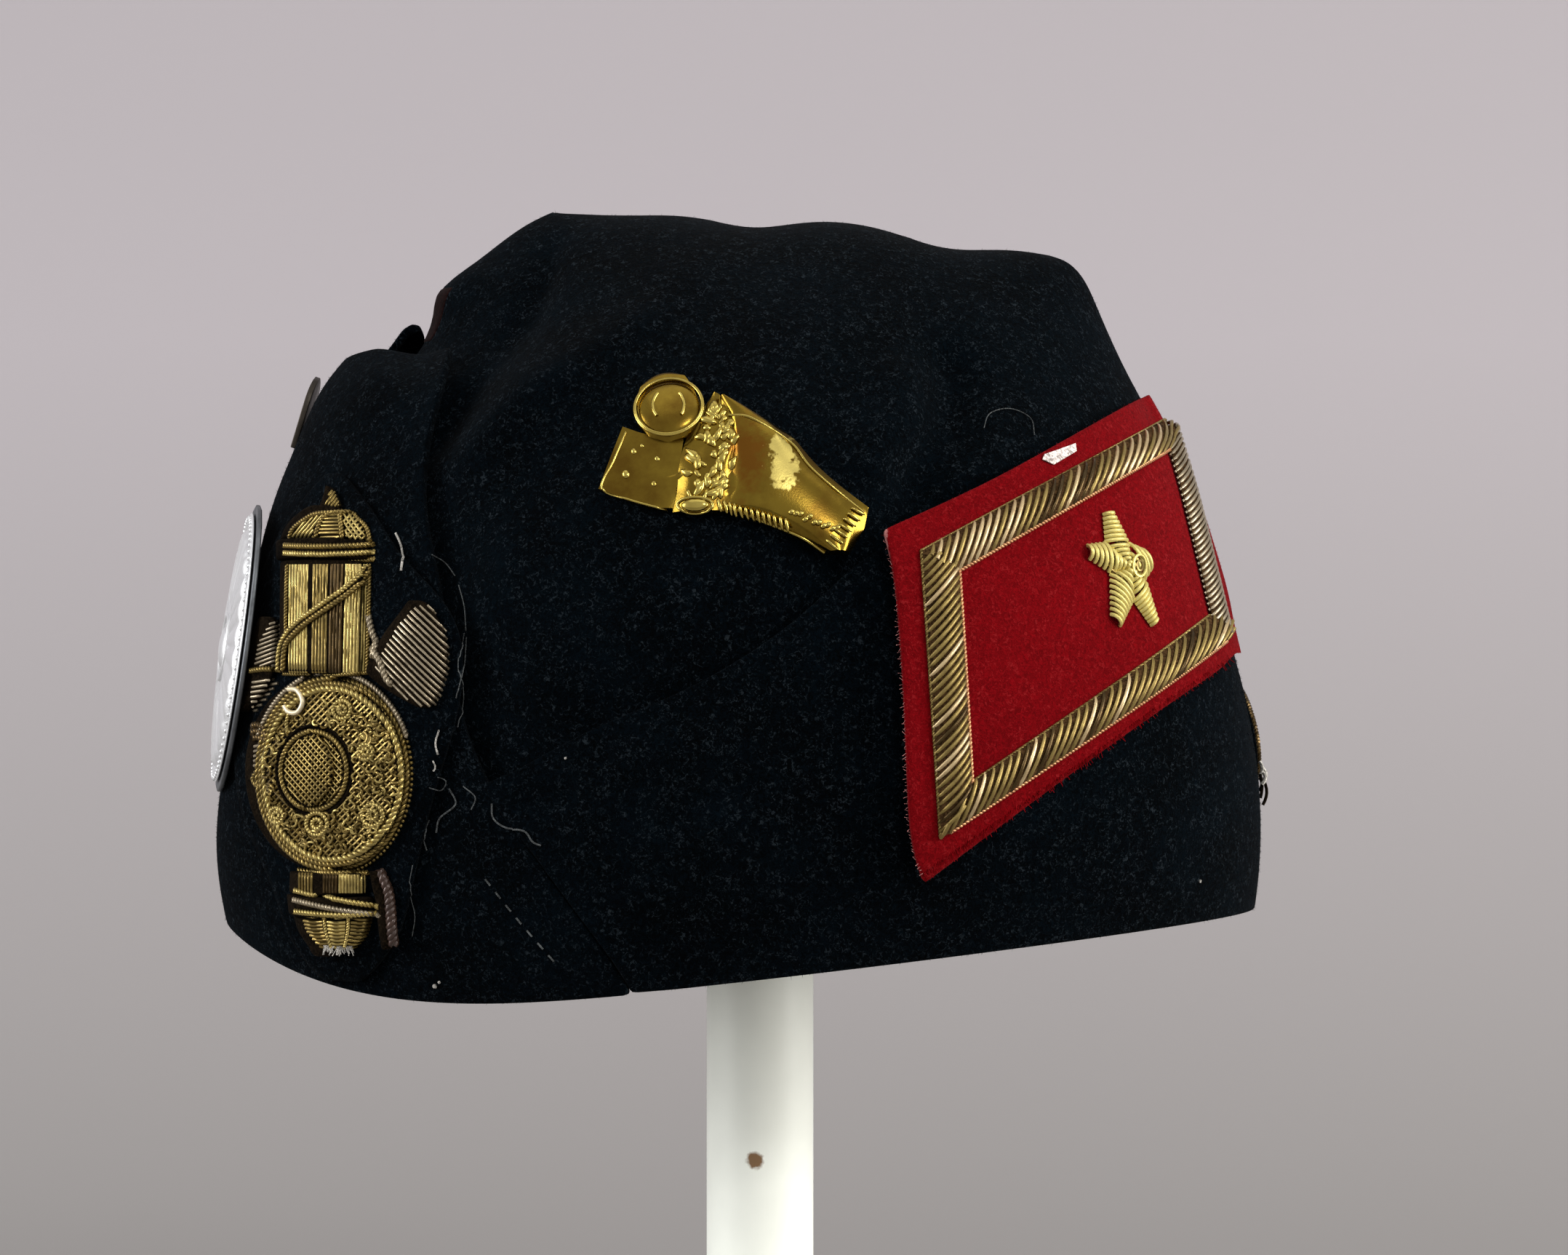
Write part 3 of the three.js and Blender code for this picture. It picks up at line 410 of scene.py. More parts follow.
def dome(middle, normal, radius, height, segments, rings):
    """A low round dome that faces along a normal, its sizes in mm."""
    clear_selection()
    bpy.ops.mesh.primitive_uv_sphere_add(segments=segments, ring_count=rings, radius=1)
    made = bpy.context.object
    turn = upright(normal).to_matrix()
    for v in made.data.vertices:
        v.co = middle + turn @ Vector((v.co.x * radius, v.co.y * radius, v.co.z * height)) * MM
    return made


def hoop(middle, normal, radius, wire, segments, sides):
    """A ring of round wire that faces along a normal, its sizes in mm."""
    clear_selection()
    bpy.ops.mesh.primitive_torus_add(
        location=middle,
        rotation=upright(normal).to_euler(),
        major_radius=radius * MM,
        minor_radius=wire * MM,
        major_segments=segments,
        minor_segments=sides,
    )
    return settle(bpy.context.object)


def beads(name, places, radius, squash=1.0):
    """Small round beads, one at each (point, normal)."""
    seed = ball(1)
    shape = [v.co.copy() for v in seed.data.vertices]
    triangles = [tuple(p.vertices) for p in seed.data.polygons]
    bpy.data.objects.remove(seed)
    points, faces = [], []
    for place, normal in places:
        turn = upright(normal).to_matrix()
        start = len(points)
        points += [place + turn @ Vector((c.x, c.y, c.z * squash)) * radius for c in shape]
        faces += [tuple(start + i for i in triangle) for triangle in triangles]
    return smooth(mesh_piece(name, points, faces))


class Ground:
    """The outer faces of pieces, given by name, that others are laid on."""

    def __init__(self, *names):
        points, faces = [], []
        for piece in (bpy.data.objects[name] for name in names):
            start = len(points)
            points += [v.co.copy() for v in piece.data.vertices]
            faces += [[start + i for i in polygon.vertices] for polygon in piece.data.polygons]
        self.tree = BVHTree.FromPolygons(points, faces)

    def from_left(self, x, rise, lift=0.0):
        """The point and normal at an X and rise in mm, as seen from the cap's left."""
        for nudge in (0.0, 0.021, -0.033):  # a ray along an edge can slip between its faces
            start = Vector(((x + nudge) * MM, -0.3, (RIM + rise + nudge * 0.7) * MM))
            hit, normal, _, _ = self.tree.ray_cast(start, Vector((0, 1, 0)))
            if hit is not None:
                break
        if hit is None:  # just off an edge: the place on it nearest to the ray does
            places = [Vector((start.x, depth * MM, start.z)) for depth in range(-80, 2, 3)]
            found = [self.tree.find_nearest(place) for place in places]
            hit, normal, _, _ = min(found, key=lambda one: one[3])
        if normal.y > 0:
            normal = -normal
        return hit + normal * lift * MM, normal

    def from_back(self, y, rise):
        """The point at a Y and rise in mm, as seen from behind."""
        start = Vector((0.2, y * MM, (RIM + rise) * MM))
        nearby = Vector((0.1, start.y, start.z))
        return self.onto(start, Vector((-1, 0, 0))) or self.tree.find_nearest(nearby)[0]

    def onto(self, start, direction):
        """The point that a ray meets first, or None."""
        return self.tree.ray_cast(start, direction)[0]

    def line(self, places, lift, spacing=0.8):
        """A path laid on the ground through (x, rise) places, smoothly and at an even spacing."""
        flat = spline([Vector((x, 0, rise)) for x, rise in places], spacing)
        return [self.from_left(p.x, p.z, lift)[0] for p in flat]


def spline(points, spacing):
    """A smooth curve through points, at even distances."""
    if len(points) == 2:
        return resample(points, spacing)
    closed = (points[0] - points[-1]).length < 1e-6
    fine = []
    n = len(points)
    for i in range(n - 1):
        p1, p2 = points[i], points[i + 1]
        p0 = points[i - 1] if i else (points[-2] if closed else p1 * 2 - p2)
        p3 = points[i + 2] if i + 2 < n else (points[1] if closed else p2 * 2 - p1)
        for k in range(8):
            t = k / 8
            fine.append(
                0.5 * (2 * p1 + (p2 - p0) * t + (2 * p0 - 5 * p1 + 4 * p2 - p3) * t**2
                       + (3 * p1 - p0 - 3 * p2 + p3) * t**3)
            )
    return resample(fine + [points[-1]], spacing)


def along(table, key, value, column):
    """The value in a table's column, straight between its rows."""
    return float(np.interp(value, [row[key] for row in table], [row[column] for row in table]))


def clamp(t):
    return min(1.0, max(0.0, t))


def ease(t):
    """A smooth step from 0 to 1."""
    t = clamp(t)
    return t * t * (3 - 2 * t)


def swell(t):
    """1 at 0, falling smoothly on both sides."""
    return math.exp(-(t**2))


def between(a, b, t):
    """The place at a share of the way from one place to another."""
    return (a[0] + (b[0] - a[0]) * t, a[1] + (b[1] - a[1]) * t)


def turns(steps, start=0.0, end=1.0):
    """Angles from one share of a turn to another, both ends included."""
    return [2 * math.pi * (start + (end - start) * i / steps) for i in range(steps + 1)]



# ---- Materials ----


def new_group(name, inputs, outputs):
    """A shader node group with its sockets. Returns it with its input and output nodes."""
    group = bpy.data.node_groups.new(name, "ShaderNodeTree")
    for socket, (kind, value) in inputs.items():
        made = group.interface.new_socket(name=socket, in_out="INPUT", socket_type=kind)
        made.default_value = value
    for socket, kind in outputs.items():
        group.interface.new_socket(name=socket, in_out="OUTPUT", socket_type=kind)
    return group, group.nodes.new("NodeGroupInput"), group.nodes.new("NodeGroupOutput")


def node(tree, kind, inputs=None, **values):
    """A node with its settings. An input is a value or another node's socket."""
    made = tree.nodes.new(kind)
    for key, value in values.items():
        setattr(made, key, value)
    for key, value in (inputs or {}).items():
        if isinstance(value, bpy.types.NodeSocket):
            tree.links.new(value, made.inputs[key])
        else:
            made.inputs[key].default_value = value
    return made


def coordinates(tree, stretch=(1, 1, 1), turn=(0, 0, 0)):
    place = node(tree, "ShaderNodeTexCoord").outputs["Object"]
    return node(tree, "ShaderNodeMapping", {"Vector": place, "Scale": stretch, "Rotation": turn}).outputs[0]


def noise(tree, vector, scale, detail=3.0, roughness=0.55, swirl=0.0):
    made = node(
        tree,
        "ShaderNodeTexNoise",
        {"Vector": vector, "Scale": scale, "Detail": detail, "Roughness": roughness, "Distortion": swirl},
    )
    return made.outputs["Fac"]


def ramp(tree, value, low, high, to_low=0.0, to_high=1.0):
    made = node(
        tree,
        "ShaderNodeMapRange",
        {"Value": value, "From Min": low, "From Max": high, "To Min": to_low, "To Max": to_high},
    )
    return made.outputs["Result"]


def mix_colours(tree, share, first, second, blend="MIX"):
    made = node(tree, "ShaderNodeMix", data_type="RGBA", blend_type=blend)
    for socket, value in ((0, share), (6, first), (7, second)):
        if isinstance(value, bpy.types.NodeSocket):
            tree.links.new(value, made.inputs[socket])
        else:
            made.inputs[socket].default_value = value
    return made.outputs[2]


def maths(tree, operation, first, second=0.0, third=0.0):
    return node(tree, "ShaderNodeMath", {0: first, 1: second, 2: third}, operation=operation).outputs[0]


def rgba(value):
    return (*value[:3], 1.0)


def felt_group():
    """Wool felt: a mottled colour, pale lint, and the height of its matted fibres."""
    if "Matted felt" in bpy.data.node_groups:
        return bpy.data.node_groups["Matted felt"]
    group, put_in, put_out = new_group(
        "Matted felt",
        {
            "Colour": ("NodeSocketColor", (0, 0, 0, 1)),
            "Lint": ("NodeSocketColor", (0.1, 0.1, 0.1, 1)),
            "Lint amount": ("NodeSocketFloat", 0.3),
            "Mottle": ("NodeSocketFloat", 0.5),
            "Grain": ("NodeSocketFloat", 0.6),
        },
        {"Colour": "NodeSocketColor", "Height": "NodeSocketFloat"},
    )
    place = coordinates(group)
    clouds = noise(group, place, 55, 4)
    fibres = noise(group, place, 1250, 3, 0.7, 1.2)
    clumps = noise(group, place, 420, 3, 0.65)
    shade = maths(group, "MULTIPLY", ramp(group, clouds, 0.3, 0.7, -1, 1), put_in.outputs["Mottle"])
    darker, lighter = (
        node(group, "ShaderNodeHueSaturation", {"Color": put_in.outputs["Colour"], "Value": value}).outputs[0]
        for value in (0.3, 2.2)
    )
    grain = maths(group, "ADD", ramp(group, fibres, 0.38, 0.62), shade)
    even = maths(group, "MULTIPLY_ADD", put_in.outputs["Grain"], -0.5, 0.3)
    share = maths(group, "MULTIPLY_ADD", grain, put_in.outputs["Grain"], even)
    body = mix_colours(group, share, darker, lighter)
    specks = maths(group, "MULTIPLY", ramp(group, fibres, 0.54, 0.66), ramp(group, clumps, 0.44, 0.56))
    specks = maths(group, "MULTIPLY", specks, put_in.outputs["Lint amount"])
    group.links.new(mix_colours(group, specks, body, put_in.outputs["Lint"]), put_out.inputs["Colour"])
    height = maths(group, "ADD", fibres, maths(group, "MULTIPLY", clumps, 0.8))
    group.links.new(height, put_out.inputs["Height"])
    return group


def tarnish_group():
    """Old metal: its colour darkened in patches and hollows of noise, and a roughness to match."""
    if "Tarnish" in bpy.data.node_groups:
        return bpy.data.node_groups["Tarnish"]
    group, put_in, put_out = new_group(
        "Tarnish",
        {
            "Colour": ("NodeSocketColor", (0.5, 0.4, 0.2, 1)),
            "Dark": ("NodeSocketColor", (0.05, 0.03, 0.02, 1)),
            "Amount": ("NodeSocketFloat", 0.5),
            "Scale": ("NodeSocketFloat", 250.0),
            "Low roughness": ("NodeSocketFloat", 0.25),
            "High roughness": ("NodeSocketFloat", 0.55),
        },
        {"Colour": "NodeSocketColor", "Roughness": "NodeSocketFloat", "Height": "NodeSocketFloat"},
    )
    place = coordinates(group)
    patches = node(group, "ShaderNodeTexNoise", {"Vector": place, "Detail": 5.0, "Roughness": 0.65})
    group.links.new(put_in.outputs["Scale"], patches.inputs["Scale"])
    fine = noise(group, place, 2600, 2)
    mask = maths(group, "MULTIPLY", ramp(group, patches.outputs["Fac"], 0.38, 0.66), put_in.outputs["Amount"])
    group.links.new(
        mix_colours(group, mask, put_in.outputs["Colour"], put_in.outputs["Dark"]), put_out.inputs["Colour"]
    )
    span = {"Value": patches.outputs["Fac"], "From Min": 0.3, "From Max": 0.7}
    rough = node(group, "ShaderNodeMapRange", span)
    group.links.new(put_in.outputs["Low roughness"], rough.inputs["To Min"])
    group.links.new(put_in.outputs["High roughness"], rough.inputs["To Max"])
    group.links.new(rough.outputs["Result"], put_out.inputs["Roughness"])
    group.links.new(fine, put_out.inputs["Height"])
    return group


def new_material(name, roughness, metallic=0.0, **constants):
    """A material with its shader, and a bump node that feeds its normal."""
    made = bpy.data.materials.new(name)
    made.use_nodes = True
    tree = made.node_tree
    shader = tree.nodes["Principled BSDF"]
    shader.inputs["Roughness"].default_value = roughness
    shader.inputs["Metallic"].default_value = metallic
    for key, value in constants.items():
        shader.inputs[key.replace("_", " ")].default_value = value
    bump = node(tree, "ShaderNodeBump", {"Strength": 0.5, "Distance": 0.3 * MM})
    tree.links.new(bump.outputs[0], shader.inputs["Normal"])
    made.diffuse_color = (0.5, 0.5, 0.5, 1)
    return made, tree, shader, bump


def place_group(tree, group, values, shader, bump, bump_depth):
    """Places a node group with its own values, and feeds the shader and its bump from it."""
    placed = node(tree, "ShaderNodeGroup", values, node_tree=group)
    for output, socket in (("Colour", "Base Color"), ("Roughness", "Roughness")):
        if output in placed.outputs:
            tree.links.new(placed.outputs[output], shader.inputs[socket])
    tree.links.new(placed.outputs["Height"], bump.inputs["Height"])
    bump.inputs["Distance"].default_value = bump_depth * MM


def felt_material(
    name, body, lint, lint_amount=0.5, mottle=0.5, bump_depth=0.35, sheen=0.15, gloss=0.06, grain=0.6
):
    if name in bpy.data.materials:
        return bpy.data.materials[name]
    made, tree, shader, bump = new_material(
        name, 0.95, Sheen_Weight=sheen, Sheen_Roughness=0.5, Specular_IOR_Level=gloss
    )
    values = {"Colour": rgba(body), "Lint": rgba(lint)}
    values |= {"Lint amount": lint_amount, "Mottle": mottle, "Grain": grain}
    place_group(tree, felt_group(), values, shader, bump, bump_depth)
    return made


def metal_material(
    name, body, dark, amount=0.5, scale=250.0, rough=(0.25, 0.5), metallic=1.0, bump_depth=0.03
):
    if name in bpy.data.materials:
        return bpy.data.materials[name]
    made, tree, shader, bump = new_material(name, rough[0], metallic)
    values = {"Colour": rgba(body), "Dark": rgba(dark), "Amount": amount, "Scale": scale}
    values |= {"Low roughness": rough[0], "High roughness": rough[1]}
    place_group(tree, tarnish_group(), values, shader, bump, bump_depth)
    return made


def paint_over(made, mask, shade):
    """Lays a colour over a material where a mask is 1."""
    base = made.node_tree.nodes["Principled BSDF"].inputs["Base Color"]
    covered = mix_colours(made.node_tree, mask, base.links[0].from_socket, rgba(shade))
    made.node_tree.links.new(covered, base)


# ---- The cap's cloth ----

def cap_felt():
    felt = settings("felt")
    return felt_material("Black wool felt", felt.black, felt.lint, 0.55, 0.35, 0.6, 0.01, 0.015)


def nap_felt():
    felt = settings("felt")
    body = tuple(c * 1.6 for c in felt.black)
    return felt_material("Black wool nap", body, felt.lint, 0.7, 0.6, 0.1, 0.01, 0.015)


def line_distance(x, rise, line):
    """The distance in mm from a place to a line of places, and the share along the line."""
    best, share = 1e9, 0.0
    for i in range(len(line) - 1):
        ax, az = line[i]
        bx, bz = line[i + 1]
        run = (bx - ax) ** 2 + (bz - az) ** 2
        t = min(1.0, max(0.0, ((x - ax) * (bx - ax) + (rise - az) * (bz - az)) / run))
        away = math.hypot(x - ax - t * (bx - ax), rise - az - t * (bz - az))
        if away < best:
            best, share = away, (i + t) / (len(line) - 1)
    return best, share


# Small folds in the felt on the cap's left: half width, height and the line's places in mm
CROWN_CREASES = (
    (3.2, -2.4, ((-41.0, 163.0), (-44.6, 146.6), (-46.1, 138.8), (-49.9, 134.2), (-56.3, 126.7),
                 (-63.6, 115.0), (-69.3, 107.3))),
    (4.0, 2.1, ((-15.0, 143.9), (-25.3, 137.5), (-34.9, 130.2), (-43.1, 126.4), (-49.7, 120.3),
                (-58.5, 112.1), (-69.7, 101.7))),
    (4.5, -2.5, ((26.2, 99.9), (31.4, 106.7), (36.8, 115.0), (39.2, 125.0), (35.6, 135.4))),
    (5.0, 2.0, ((20.0, 104.0), (24.5, 112.0), (28.0, 122.0), (27.0, 133.0))),
)
EAR_FLAP_CREASES = (
    (3.0, -1.3, ((-48.2, 44.2), (-41.0, 43.4), (-34.0, 45.6))),
    (3.2, -1.3, ((-20.8, 37.6), (-13.5, 42.7), (2.4, 48.6))),
    (4.5, 1.1, ((-30.0, 52.0), (-18.0, 52.5), (-6.0, 58.0))),
    (1.5, 0.9, ((-44.0, 32.0), (-38.2, 24.5), (-30.5, 16.0), (-22.0, 6.5))),
)
# The front flap's rear edge on each side, as (rise, x) in mm
FLAP_REAR = (
    (8, -24.7), (35, -45.0), (46, -53.5), (64, -59.5), (90, -63.0), (107, -68.0), (121, -64.0), (135, -62.0),
)
BINDING = (-10.0, 18.0, 136.0, 11.0, 0.35)  # the strip's first y, width, first rise, height and lift
FLAP_TUCK = 1.5  # how far the ear flaps' front edge lies behind the front flap's
CROWN_DENT = (146.5, 4.8, 2.2)  # the dent across the crown's front: rise, half height and depth
FLAP_PEAK = (-73.5, 3.2, 2.6)  # the front flap's peak on the right: x, half width and height


def crease_depth(x, rise, creases):
    """How far the creases move a place on the felt outwards, in mm."""
    depth = 0.0
    for half_width, height, line in creases:
        away, share = line_distance(x, rise, line)
        if away < half_width * 2.5:
            fade = min(1.0, 6 * share, 6 * (1 - share))
            depth += height * swell(away / half_width) * ease(fade)
    return depth


def work_felt(piece, creases, relief, mirrored=False):
    """Moves the felt by its creases and its small unevenness, both skins together."""
    side = -1 if mirrored else 1
    for v in piece.data.vertices:
        outward = Vector((v.co.x * 0.35, v.co.y, 0)).normalized()
        creased = crease_depth(v.co.x / MM, v.co.z / MM - RIM, creases) * MM if v.co.y * side < 0 else 0.0
        place = v.co * 38 + Vector((3, side * 7, 1))
        wave = math.sin(place.x * 1.7 + math.sin(place.z * 1.3)) * math.cos(place.z * 1.9 + place.y * 0.7)
        v.co += outward * (creased + wave * relief * 0.6)
    piece.data.update()
    return piece


def nap(name, piece, number_of, seed, reach):
    """Fine fibres that stand off the felt, one thin triangle each."""
    chance = random.Random(seed)
    polygons = piece.data.polygons
    picks = chance.choices(range(len(polygons)), [polygon.area for polygon in polygons], k=number_of)
    half_width = settings("felt").nap_width * 0.5
    points = []
    for pick in picks:
        polygon = polygons[pick]
        corners = [piece.data.vertices[i].co for i in polygon.vertices]
        shares = [chance.random() for _ in corners]
        total = sum(shares)
        root = sum((c * (s / total) for c, s in zip(corners, shares)), Vector())
        normal = polygon.normal
        lean = Vector([chance.gauss(0, 1) for _ in range(3)])
        lean = (lean - normal * lean.dot(normal)).normalized()
        long = reach * (0.35 + 0.65 * chance.random() ** 2)
        tip = root + (normal * chance.uniform(0.12, 0.75) + lean).normalized() * long
        breadth = (tip - root).cross(normal).normalized() * half_width
        sunk = root - normal * 0.05 * MM
        points += [sunk - breadth, sunk + breadth, tip]
    mesh = bpy.data.meshes.new(name)
    mesh.vertices.add(len(points))
    mesh.vertices.foreach_set("co", np.array([tuple(p) for p in points]).ravel())
    mesh.loops.add(len(points))
    mesh.loops.foreach_set("vertex_index", np.arange(len(points)))
    mesh.polygons.add(len(points) // 3)
    mesh.polygons.foreach_set("loop_start", np.arange(0, len(points), 3))
    mesh.update(calc_edges=True)
    return linked(name, mesh)


class CAP_OT_crown(bpy.types.Operator):
    """Makes the cap's crown with its creases"""

    bl_idname = "cap.crown"
    bl_label = "Crown"

    def execute(self, context):
        def shaped(crown):
            middle, half_height, depth = CROWN_DENT
            for v in crown.data.vertices:
                x, y, rise = v.co.x / MM, v.co.y / MM, v.co.z / MM - RIM
                near = ease((-52 - x) / 8) * ease((17 - abs(y)) / 8)
                v.co.x -= depth * swell((rise - middle) / half_height) * near * MM
            work_felt(crown, CROWN_CREASES, settings("felt").relief)

        dressed("crown", "crown_felt", cap_felt(), shaped=shaped)
        return {"FINISHED"}


def shape_front_flap(piece):
    """Raises its top corners and the peak on its right side."""
    peak, half_width, height = FLAP_PEAK
    for v in piece.data.vertices:
        x, y, rise = v.co.x / MM, v.co.y / MM, v.co.z / MM - RIM
        if y < 2:
            v.co.z += 3.2 * ease((rise - 110) / 16) * ease((-67 - x) / 12) * MM
        else:
            v.co.z += height * ease((rise - 128) / 8) * swell((x - peak) / half_width) * MM
    work_felt(piece, (), settings("felt").relief * 0.7)


def shape_ear_flap(piece):
    """Lays its front edge close behind the front flap, and gives it its creases."""
    for v in piece.data.vertices:
        near = v.co.x / MM - along(FLAP_REAR, 0, v.co.z / MM - RIM, 1)
        v.co.x -= FLAP_TUCK * (1 - ease((near - 1.5) / 8)) * MM
    work_felt(piece, EAR_FLAP_CREASES, settings("felt").relief * 0.7, "right" in piece.name)


class CAP_OT_flaps(bpy.types.Operator):
    """Makes the turned-up front flap and ear flaps"""

    bl_idname = "cap.flaps"
    bl_label = "Flaps"

    def execute(self, context):
        for name, levels, shaped in (
            ("front_flap", 3, shape_front_flap),
            ("ear_flap_left", 3, shape_ear_flap),
            ("ear_flap_right", 2, shape_ear_flap),
        ):
            dressed(name, name + "_felt", cap_felt(), 0.5, levels, shaped)
        return {"FINISHED"}


class CAP_OT_nap(bpy.types.Operator):
    """Makes the fine fibres that stand off the felt"""

    bl_idname = "cap.nap"
    bl_label = "Nap"

    def execute(self, context):
        felt = settings("felt")
        share = 1.0
        for node_name, number_of, seed in (
            ("crown", felt.crown_fibres, 11),
            ("front_flap", felt.flap_fibres, 12),
            ("ear_flap_left", felt.flap_fibres, 13),
            ("ear_flap_right", felt.flap_fibres, 14),
        ):
            ground = bpy.data.objects[node_name + "_felt"]
            fibres = nap(node_name + "_nap", ground, int(number_of * share), seed, felt.nap_length)
            finish_piece(fibres, nap_felt())
        return {"FINISHED"}


class CAP_OT_binding(bpy.types.Operator):
    """Makes the narrow strip at the crown's front edge"""

    bl_idname = "cap.binding"
    bl_label = "Binding"

    def execute(self, context):
        ground = Ground("crown_felt")
        first_y, width, first_rise, height, lift = BINDING
        points, faces, columns, rows = [], [], 10, 24
        for i in range(rows + 1):
            z = (RIM + first_rise + height * i / rows) * MM
            for k in range(columns + 1):
                start = Vector((-0.15, (first_y + width * k / columns) * MM, z))
                hit = ground.onto(start, Vector((1, 0, 0)))
                if hit is None:
                    raise RuntimeError("the binding has no crown under it")
                points.append(hit - Vector((lift * MM, 0, 0)))
        for i in range(rows):
            for one in range(i * (columns + 1), i * (columns + 1) + columns):
                faces.append((one, one + columns + 1, one + columns + 2, one + 1))
        strip = mesh_piece("crown_binding_cloth", points, faces)
        apply_modifier(strip, "SOLIDIFY", thickness=0.7 * MM, offset=-1)
        body, lint = (0.006, 0.0020, 0.0018), (0.024, 0.010, 0.009)
        made = felt_material("Brown binding", body, lint, 0.3, 0.5, 0.2, 0.02, 0.03)
        finish_piece(smooth(subdivide(strip, 1)), made, ["crown_binding"])
        return {"FINISHED"}


# ---- The bullion badge on its felt backing ----
# Places are (x, rise) in mm on the cap's left side; rises count from the rim. A shape's rows are
# (rise, left x, right x), and an oval is (x, rise, half width, half height).

PADDINGS = (
    "finial", "dome", "top_rings", "column", "right_lobe", "left_lobe",
    "medallion", "boss", "neck", "low_rings", "bulb", "side_cord",
)
BACKING_EDGES = (
    ((-64.0, 91.5), (-61.4, 89.9), (-59.4, 87.4)),
    ((-58.6, 85.6), (-57.4, 81.4), (-57.0, 76.6)),
    ((-56.9, 75.4), (-57.3, 69.6), (-58.6, 63.6)),
)
BACKING_TUFT = ((-71.3, 95.8), (-70.2, 93.4), (-69.7, 90.6), (-69.9, 88.4))

FINIAL = ((100.5, -87.0, -82.4), (102.2, -86.1, -83.2), (104.4, -85.1, -84.3))
DOME = ((94.2, -93.6, -76.3), (96.8, -92.4, -77.1), (98.8, -89.6, -79.2), (99.8, -87.0, -80.6))
DOME_RISES = (94.2, 95.8, 97.4, 98.8, 99.7)
TOP_CORDS = ((90.6, "gold"), (92.0, "satin"), (93.5, "gold"))
TOP_CORD_SAG = ((-94.3, 0.1), (-90, -0.15), (-85, -0.25), (-80, -0.15), (-75.5, 0.1))

COLUMN = ((68.2, -93.1, -77.0), (89.8, -93.4, -76.6))
# Bands of painted light and shade on the column, in lighter and darker wire: first and last share of its
# width, and their wire
COLUMN_BANDS = ((0.01, 0.27, "satin"), (0.32, 0.52, "gold"), (0.54, 0.70, "shade"), (0.72, 0.99, "satin"))
COLUMN_EDGES = (
    ((-93.3, 74), (-93.5, 80), (-93.5, 89.6)),
    ((-76.6, 68.4), (-76.4, 79), (-76.4, 89.6)),
    ((-94.2, 68.4), (-86, 68.2), (-76.6, 68.4)),
)
SLANT = (
    (-76.4, 88.6), (-80.3, 84.8), (-84.6, 81.6), (-89.3, 78.4), (-92.1, 75.9), (-93.6, 73.4), (-94.0, 69.0),
)
SLANT_CORDS = ((-0.62, "satin"), (0.62, "gold"))

RIGHT_LOBE = (
    (62.0, -65.6, -62.6), (63.8, -69.4, -61.4), (68.6, -75.2, -59.9), (71.0, -74.2, -59.6),
    (77.0, -70.8, -60.5), (81.6, -66.8, -63.8),
)
BRIDGE = (
    ((-76.4, 79.6), (-75.6, 76.4), (-74.6, 74.0), (-75.2, 71.4)),
    ((-75.4, 73.2), (-73.6, 70.6), (-72.4, 67.6), (-71.2, 66.2)),
)
LEFT_LOBE_LOW = ((60.6, -101.6, -100.2), (63.0, -101.8, -98.0), (67.0, -101.3, -95.0))
LEFT_LOBE_HIGH = ((69.6, -100.8914286, -94.8885714), (74.0, -100.2, -94.7), (78.4, -97.6, -95.1))
LEFT_BAND = ((-101.6, 68.6), (-98.6, 69.0), (-95.0, 68.8))
LEFT_CURL = ((-99.6, 48.6), (-100.4, 47.2), (-99.4, 45.9), (-98.0, 46.4), (-97.9, 48.0))

MEDALLION = (-83.8, 48.6, 15.8, 18.9)
BOSS = (-87.2, 49.2, 7.0, 7.8)
# Ropes round the medallion: name, share of its size, reach, wire, pitch and lift
ROPES = (
    ("outer_rope", 0.985, 0.36, "gold", 2.4, 0.25),
    ("middle_rope", 0.935, 0.32, "gold", 2.1, 0.3),
    ("inner_rope", 0.885, 0.38, "satin", 2.6, 0.3),
)
RINGS = ((-81.3, 61.2, 1.8), (-86.4, 38.8, 2.2), (-95.0, 40.2, 1.5), (-75.0, 40.8, 2.1), (-76.4, 53.0, 1.5))
BRIGHT_HOOK = ((-92.4, 65.0), (-90.6, 64.8), (-89.3, 62.7), (-90.3, 60.6), (-92.2, 60.5), (-93.2, 61.6))
HOOK_TRAIL = ((-92.4, 60.6), (-93.0, 58.4), (-92.6, 56.6))

# Bands of upright wires on the neck: first and last x, and their wire
NECK_BANDS = ((-90.6, -87.4, "gold"), (-85.4, -82.4, "shade"), (-82.2, -76.8, "satin"))
LOW_CORDS = (
    ("gold", ((-91.0, 29.4), (-83.6, 29.05), (-76.2, 29.4))),
    ("satin", ((-91.3, 25.6), (-83.0, 24.2), (-74.2, 22.9))),
    ("pale", ((-91.5, 23.8), (-83.0, 22.3), (-74.0, 21.2))),
    ("satin", ((-91.2, 21.5), (-82.75, 21.15), (-74.3, 21.5))),
)
BULB = ((14.4, -85.8, -79.2), (15.6, -87.2, -77.8), (17.8, -89.1, -76.0), (20.7, -90.0, -75.2))
BULB_BANDS = ((0.02, 0.3, "gold"), (0.37, 0.63, "satin"), (0.70, 0.98, "gold"))
BULB_RISES = (14.6, 16.0, 18.0, 20.6)
SIDE_CORD = ((-71.4, 15.4), (-71.6, 18.0), (-72.2, 25.0), (-73.5, 28.6), (-73.8, 29.8))

# How tarnished each colour of wire is, and how metallic
BULLION = {
    "gold": (0.6, 0.8), "satin": (0.55, 0.8), "pale": (0.5, 0.7), "shade": (0.6, 0.8), "brown": (0.4, 0.3),
}


def bullion_wire(name):
    """The badge's wire in one of its set colours."""
    body = getattr(settings("bullion"), name)
    tarnish, metallic = BULLION[name]
    dark = tuple(c * 0.16 for c in body)
    title = f"{name.title()} bullion wire"
    return metal_material(title, body, dark, tarnish, 330, (0.22, 0.44), metallic, 0.04)


